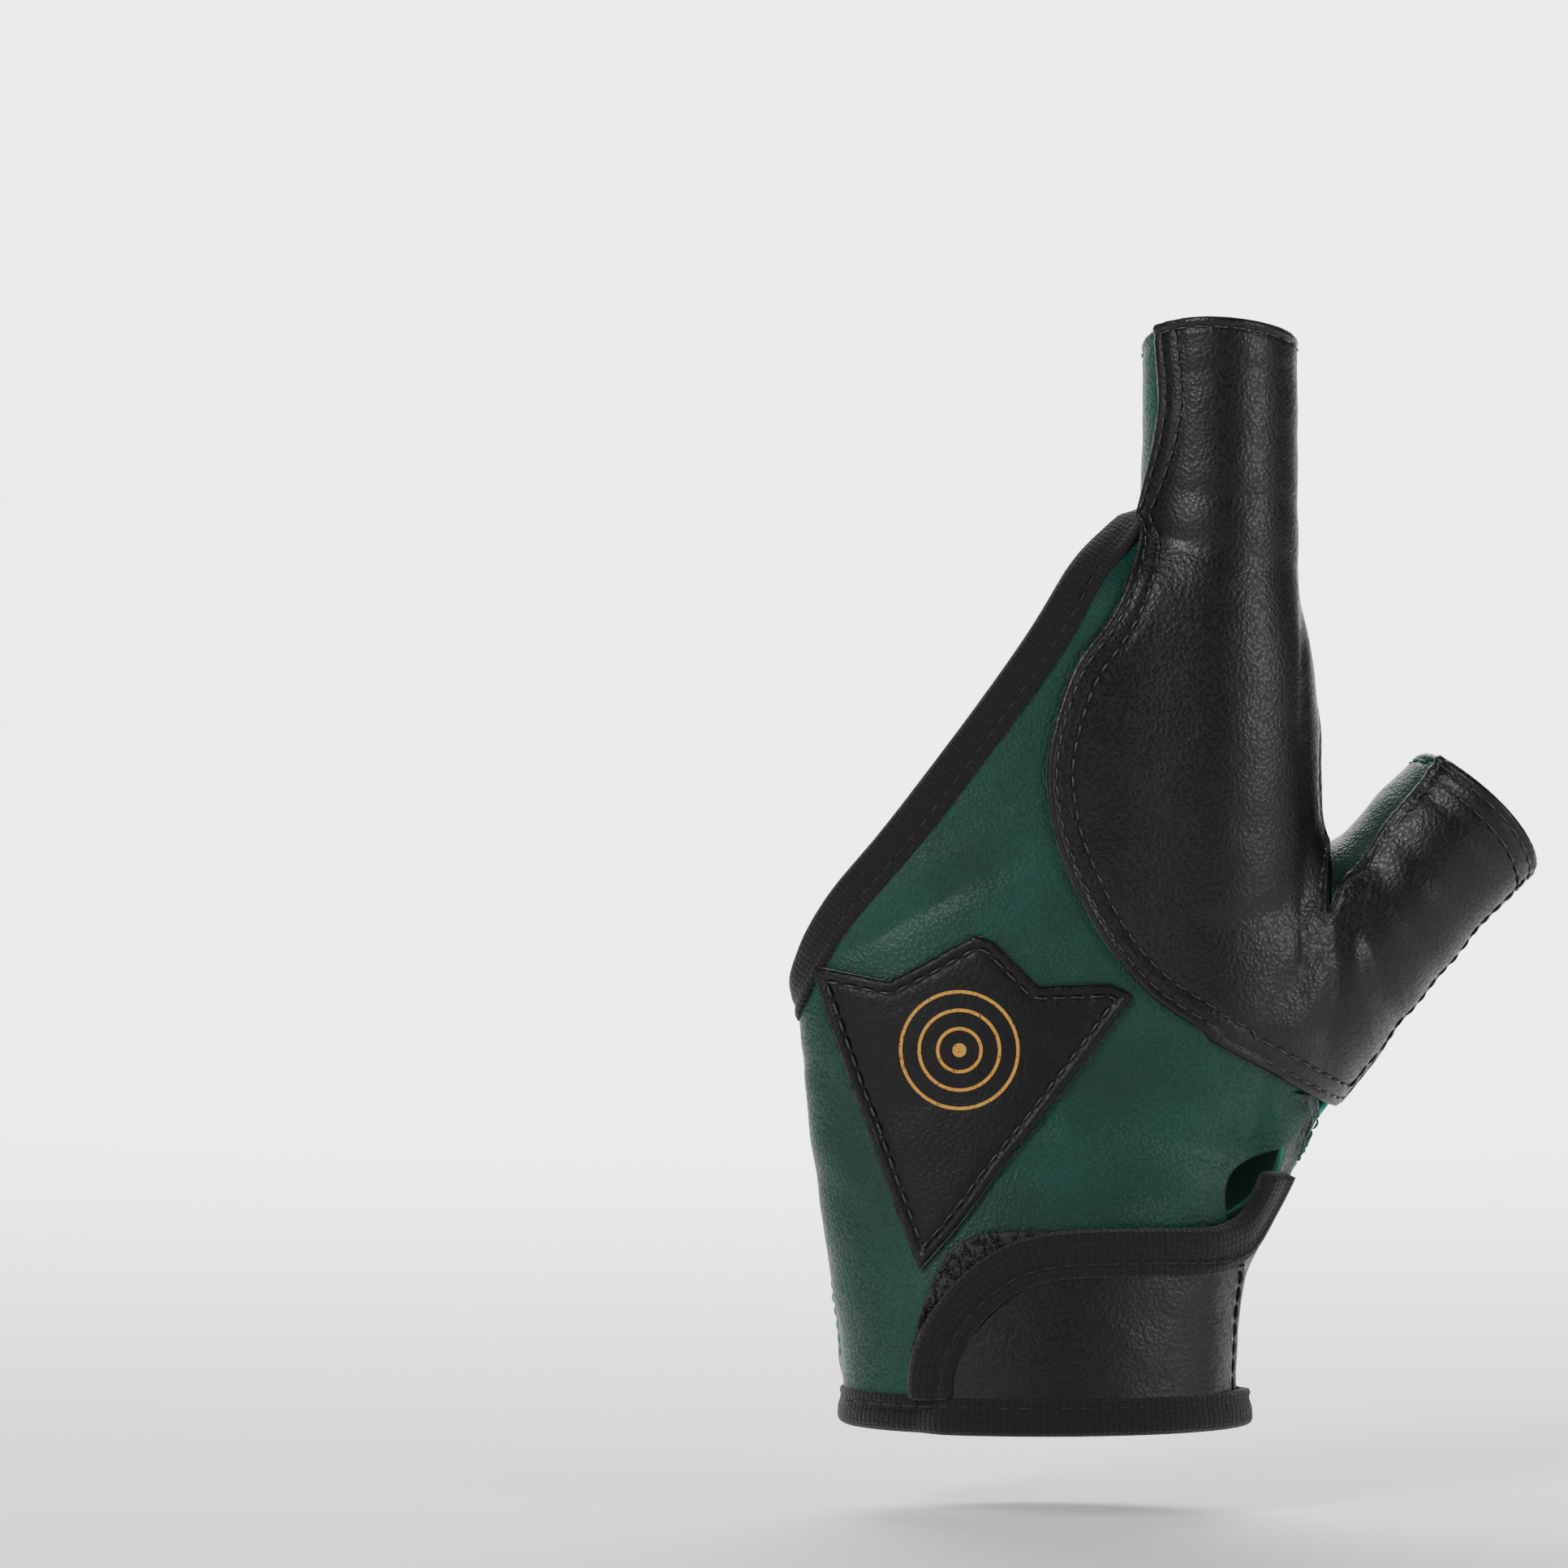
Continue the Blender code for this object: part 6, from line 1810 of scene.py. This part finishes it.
@dataclass(frozen=True)
class Studio:
    """Pale floor swept up behind, soft lights and the camera, straight in front of the back of the hand."""

    frame_width: float = 247.3 * MM
    aim: tuple[float, float] = (-40.8 * MM, 102.4 * MM)
    away: float = 1.0
    floor_height: float = -14 * MM

    def build(self) -> None:
        """Build the floor with a round sweep of 0.9 m, the world's light, three soft lamps and the camera."""
        bend, sweep, start, reach = np.linspace(0, math.pi / 2, 25), 0.9, 1.3, 2.0
        depth = np.concatenate([[-reach], start + sweep * np.sin(bend), [start + sweep]])
        height = np.concatenate([[0.0], sweep * (1 - np.cos(bend)), [2.4]]) + self.floor_height
        sheet = [np.stack([np.full(depth.shape, x), depth, height], axis=1) for x in (-reach, reach)]
        corners = np.stack(sheet, axis=1).reshape(-1, 3)
        faces = [[2 * k, 2 * k + 1, 2 * k + 3, 2 * k + 2] for k in range(len(depth) - 1)]
        material, _, shader = fresh("pale matt card")
        shader.inputs["Base Color"].default_value = linear("#F6F6F6")
        shader.inputs["Roughness"].default_value = 0.9
        floor = mesh_object("floor", corners, faces, [material])
        world = bpy.data.worlds.new("studio")
        world.use_nodes = True
        light = world.node_tree.nodes["Background"].inputs
        light["Color"].default_value = linear("#F4F6F8")
        light["Strength"].default_value = 0.20
        bpy.context.scene.world = world
        self.lamp("key", (-0.75, -0.95, 0.75), 0.40, 15.0)
        self.lamp("side", (0.95, -0.65, 0.35), 0.30, 5.5)
        self.lamp("back", (0.0, 1.15, 1.3), 1.5, 95.0, (0.0, 1.95, 0.1))
        data = bpy.data.cameras.new("photo")
        data.lens = 36.0 * self.away / self.frame_width
        data.sensor_width = 36.0
        data.clip_start, data.clip_end = 0.01, 20.0
        camera = bpy.data.objects.new("photo", data)
        bpy.context.scene.collection.objects.link(camera)
        camera.location = (self.aim[0], -self.away - 16 * MM, self.aim[1])
        camera.rotation_euler = (math.pi / 2, 0.0, 0.0)
        bpy.context.scene.camera = camera

    def lamp(
        self,
        name: str,
        place: tuple[float, float, float],
        size: float,
        power: float,
        at: tuple[float, float, float] = (0.0, 0.0, 0.09),
    ) -> None:
        """Add a square soft lamp that faces the glove or another place.

        Args:
            name: the lamp's name.
            place: where it hangs.
            size: its side's length.
            power: its power in watts.
            at: the place that it faces.
        """
        data = bpy.data.lights.new(name, "AREA")
        data.size, data.energy = size, power
        lamp = bpy.data.objects.new(name, data)
        bpy.context.scene.collection.objects.link(lamp)
        lamp.location = place
        x, y, z = np.array(at) - np.array(place)
        lamp.rotation_euler = (math.acos(-z / math.sqrt(x * x + y * y + z * z)), 0.0, math.atan2(-x, y))


def main() -> None:
    """Build the glove's pieces in order, then the studio."""
    logging.basicConfig(level=logging.INFO, format="%(name)s: %(message)s")
    form = HandForm()
    weaver = Weaver(form)
    opening = opening_line(form)
    back = GoatLeather("green goat nappa", "#053D31", "#042B23", specular=0.30).material()
    palm = GoatLeather("dark green goat nappa", "#042E23", "#031E17", roughness=0.42, specular=0.30).material()
    black = GoatLeather(
        "black goat nappa", "#0A090D", "#040406", pebble=0.65 * MM, bump=0.036 * MM, roughness=0.40, specular=0.34
    ).material()
    printed = GoatLeather(
        "black goat nappa, gold print", "#0B0A0F", "#050507", pebble=0.7 * MM, bump=0.042 * MM,
        roughness=0.46, specular=0.25, printed=TargetPrint()
    ).material()
    # The flesh side's own green suede colour, darkened as painted shade: it stands in for the shadow seen inside
    # the wrist vent.
    flesh = Suede("green suede, flesh side, darkened as painted shade", "#28574D").material()
    cut = Suede("cut edge of green leather", "#3FA08B").material()
    dark_flesh = Suede("black suede, flesh side", "#1B1A1F").material()
    dark_cut = Suede("cut edge of black leather", "#0A090D").material()
    knit = RibKnit().material()
    pile = SpunThread("black nylon loop pile", "#0B0A0D", 0.6).material()
    panels = GreenPanels(weaver)
    panels.build(opening, [back, flesh, back], [palm, flesh, cut])
    pieces = BlackPieces(weaver)
    pieces.build([black, dark_flesh, dark_cut], [printed, dark_flesh, dark_cut])
    fastening = WristFastening(weaver)
    fastening.build([black, dark_flesh, dark_cut], knit, pile)
    bindings = Bindings(form, opening)
    bindings.build(knit)
    black_thread, band_thread, green_thread, teal_thread = (Thread(form) for _ in range(4))
    pieces.sew(black_thread)
    fastening.sew(band_thread)
    bindings.sew(band_thread)
    panels.sew(green_thread, teal_thread)
    gloss_black = SpunThread("black polyester thread", "#1A191F", 0.34).material()
    matt_black = SpunThread("matt black polyester thread", "#060508", 0.7).material()
    green = SpunThread("dark green polyester thread", "#174E3E").material()
    teal = SpunThread("teal polyester thread", "#35806F").material()
    black_thread.make("black_stitches", gloss_black, "black_leather_facing")
    band_thread.make("band_stitches", matt_black, "knit_opening")
    green_thread.make("green_stitches", green, "green_leather_palm")
    teal_thread.make("teal_stitches", teal, "green_leather_palm")
    Studio().build()
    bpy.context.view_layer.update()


if __name__ == "__main__":
    main()
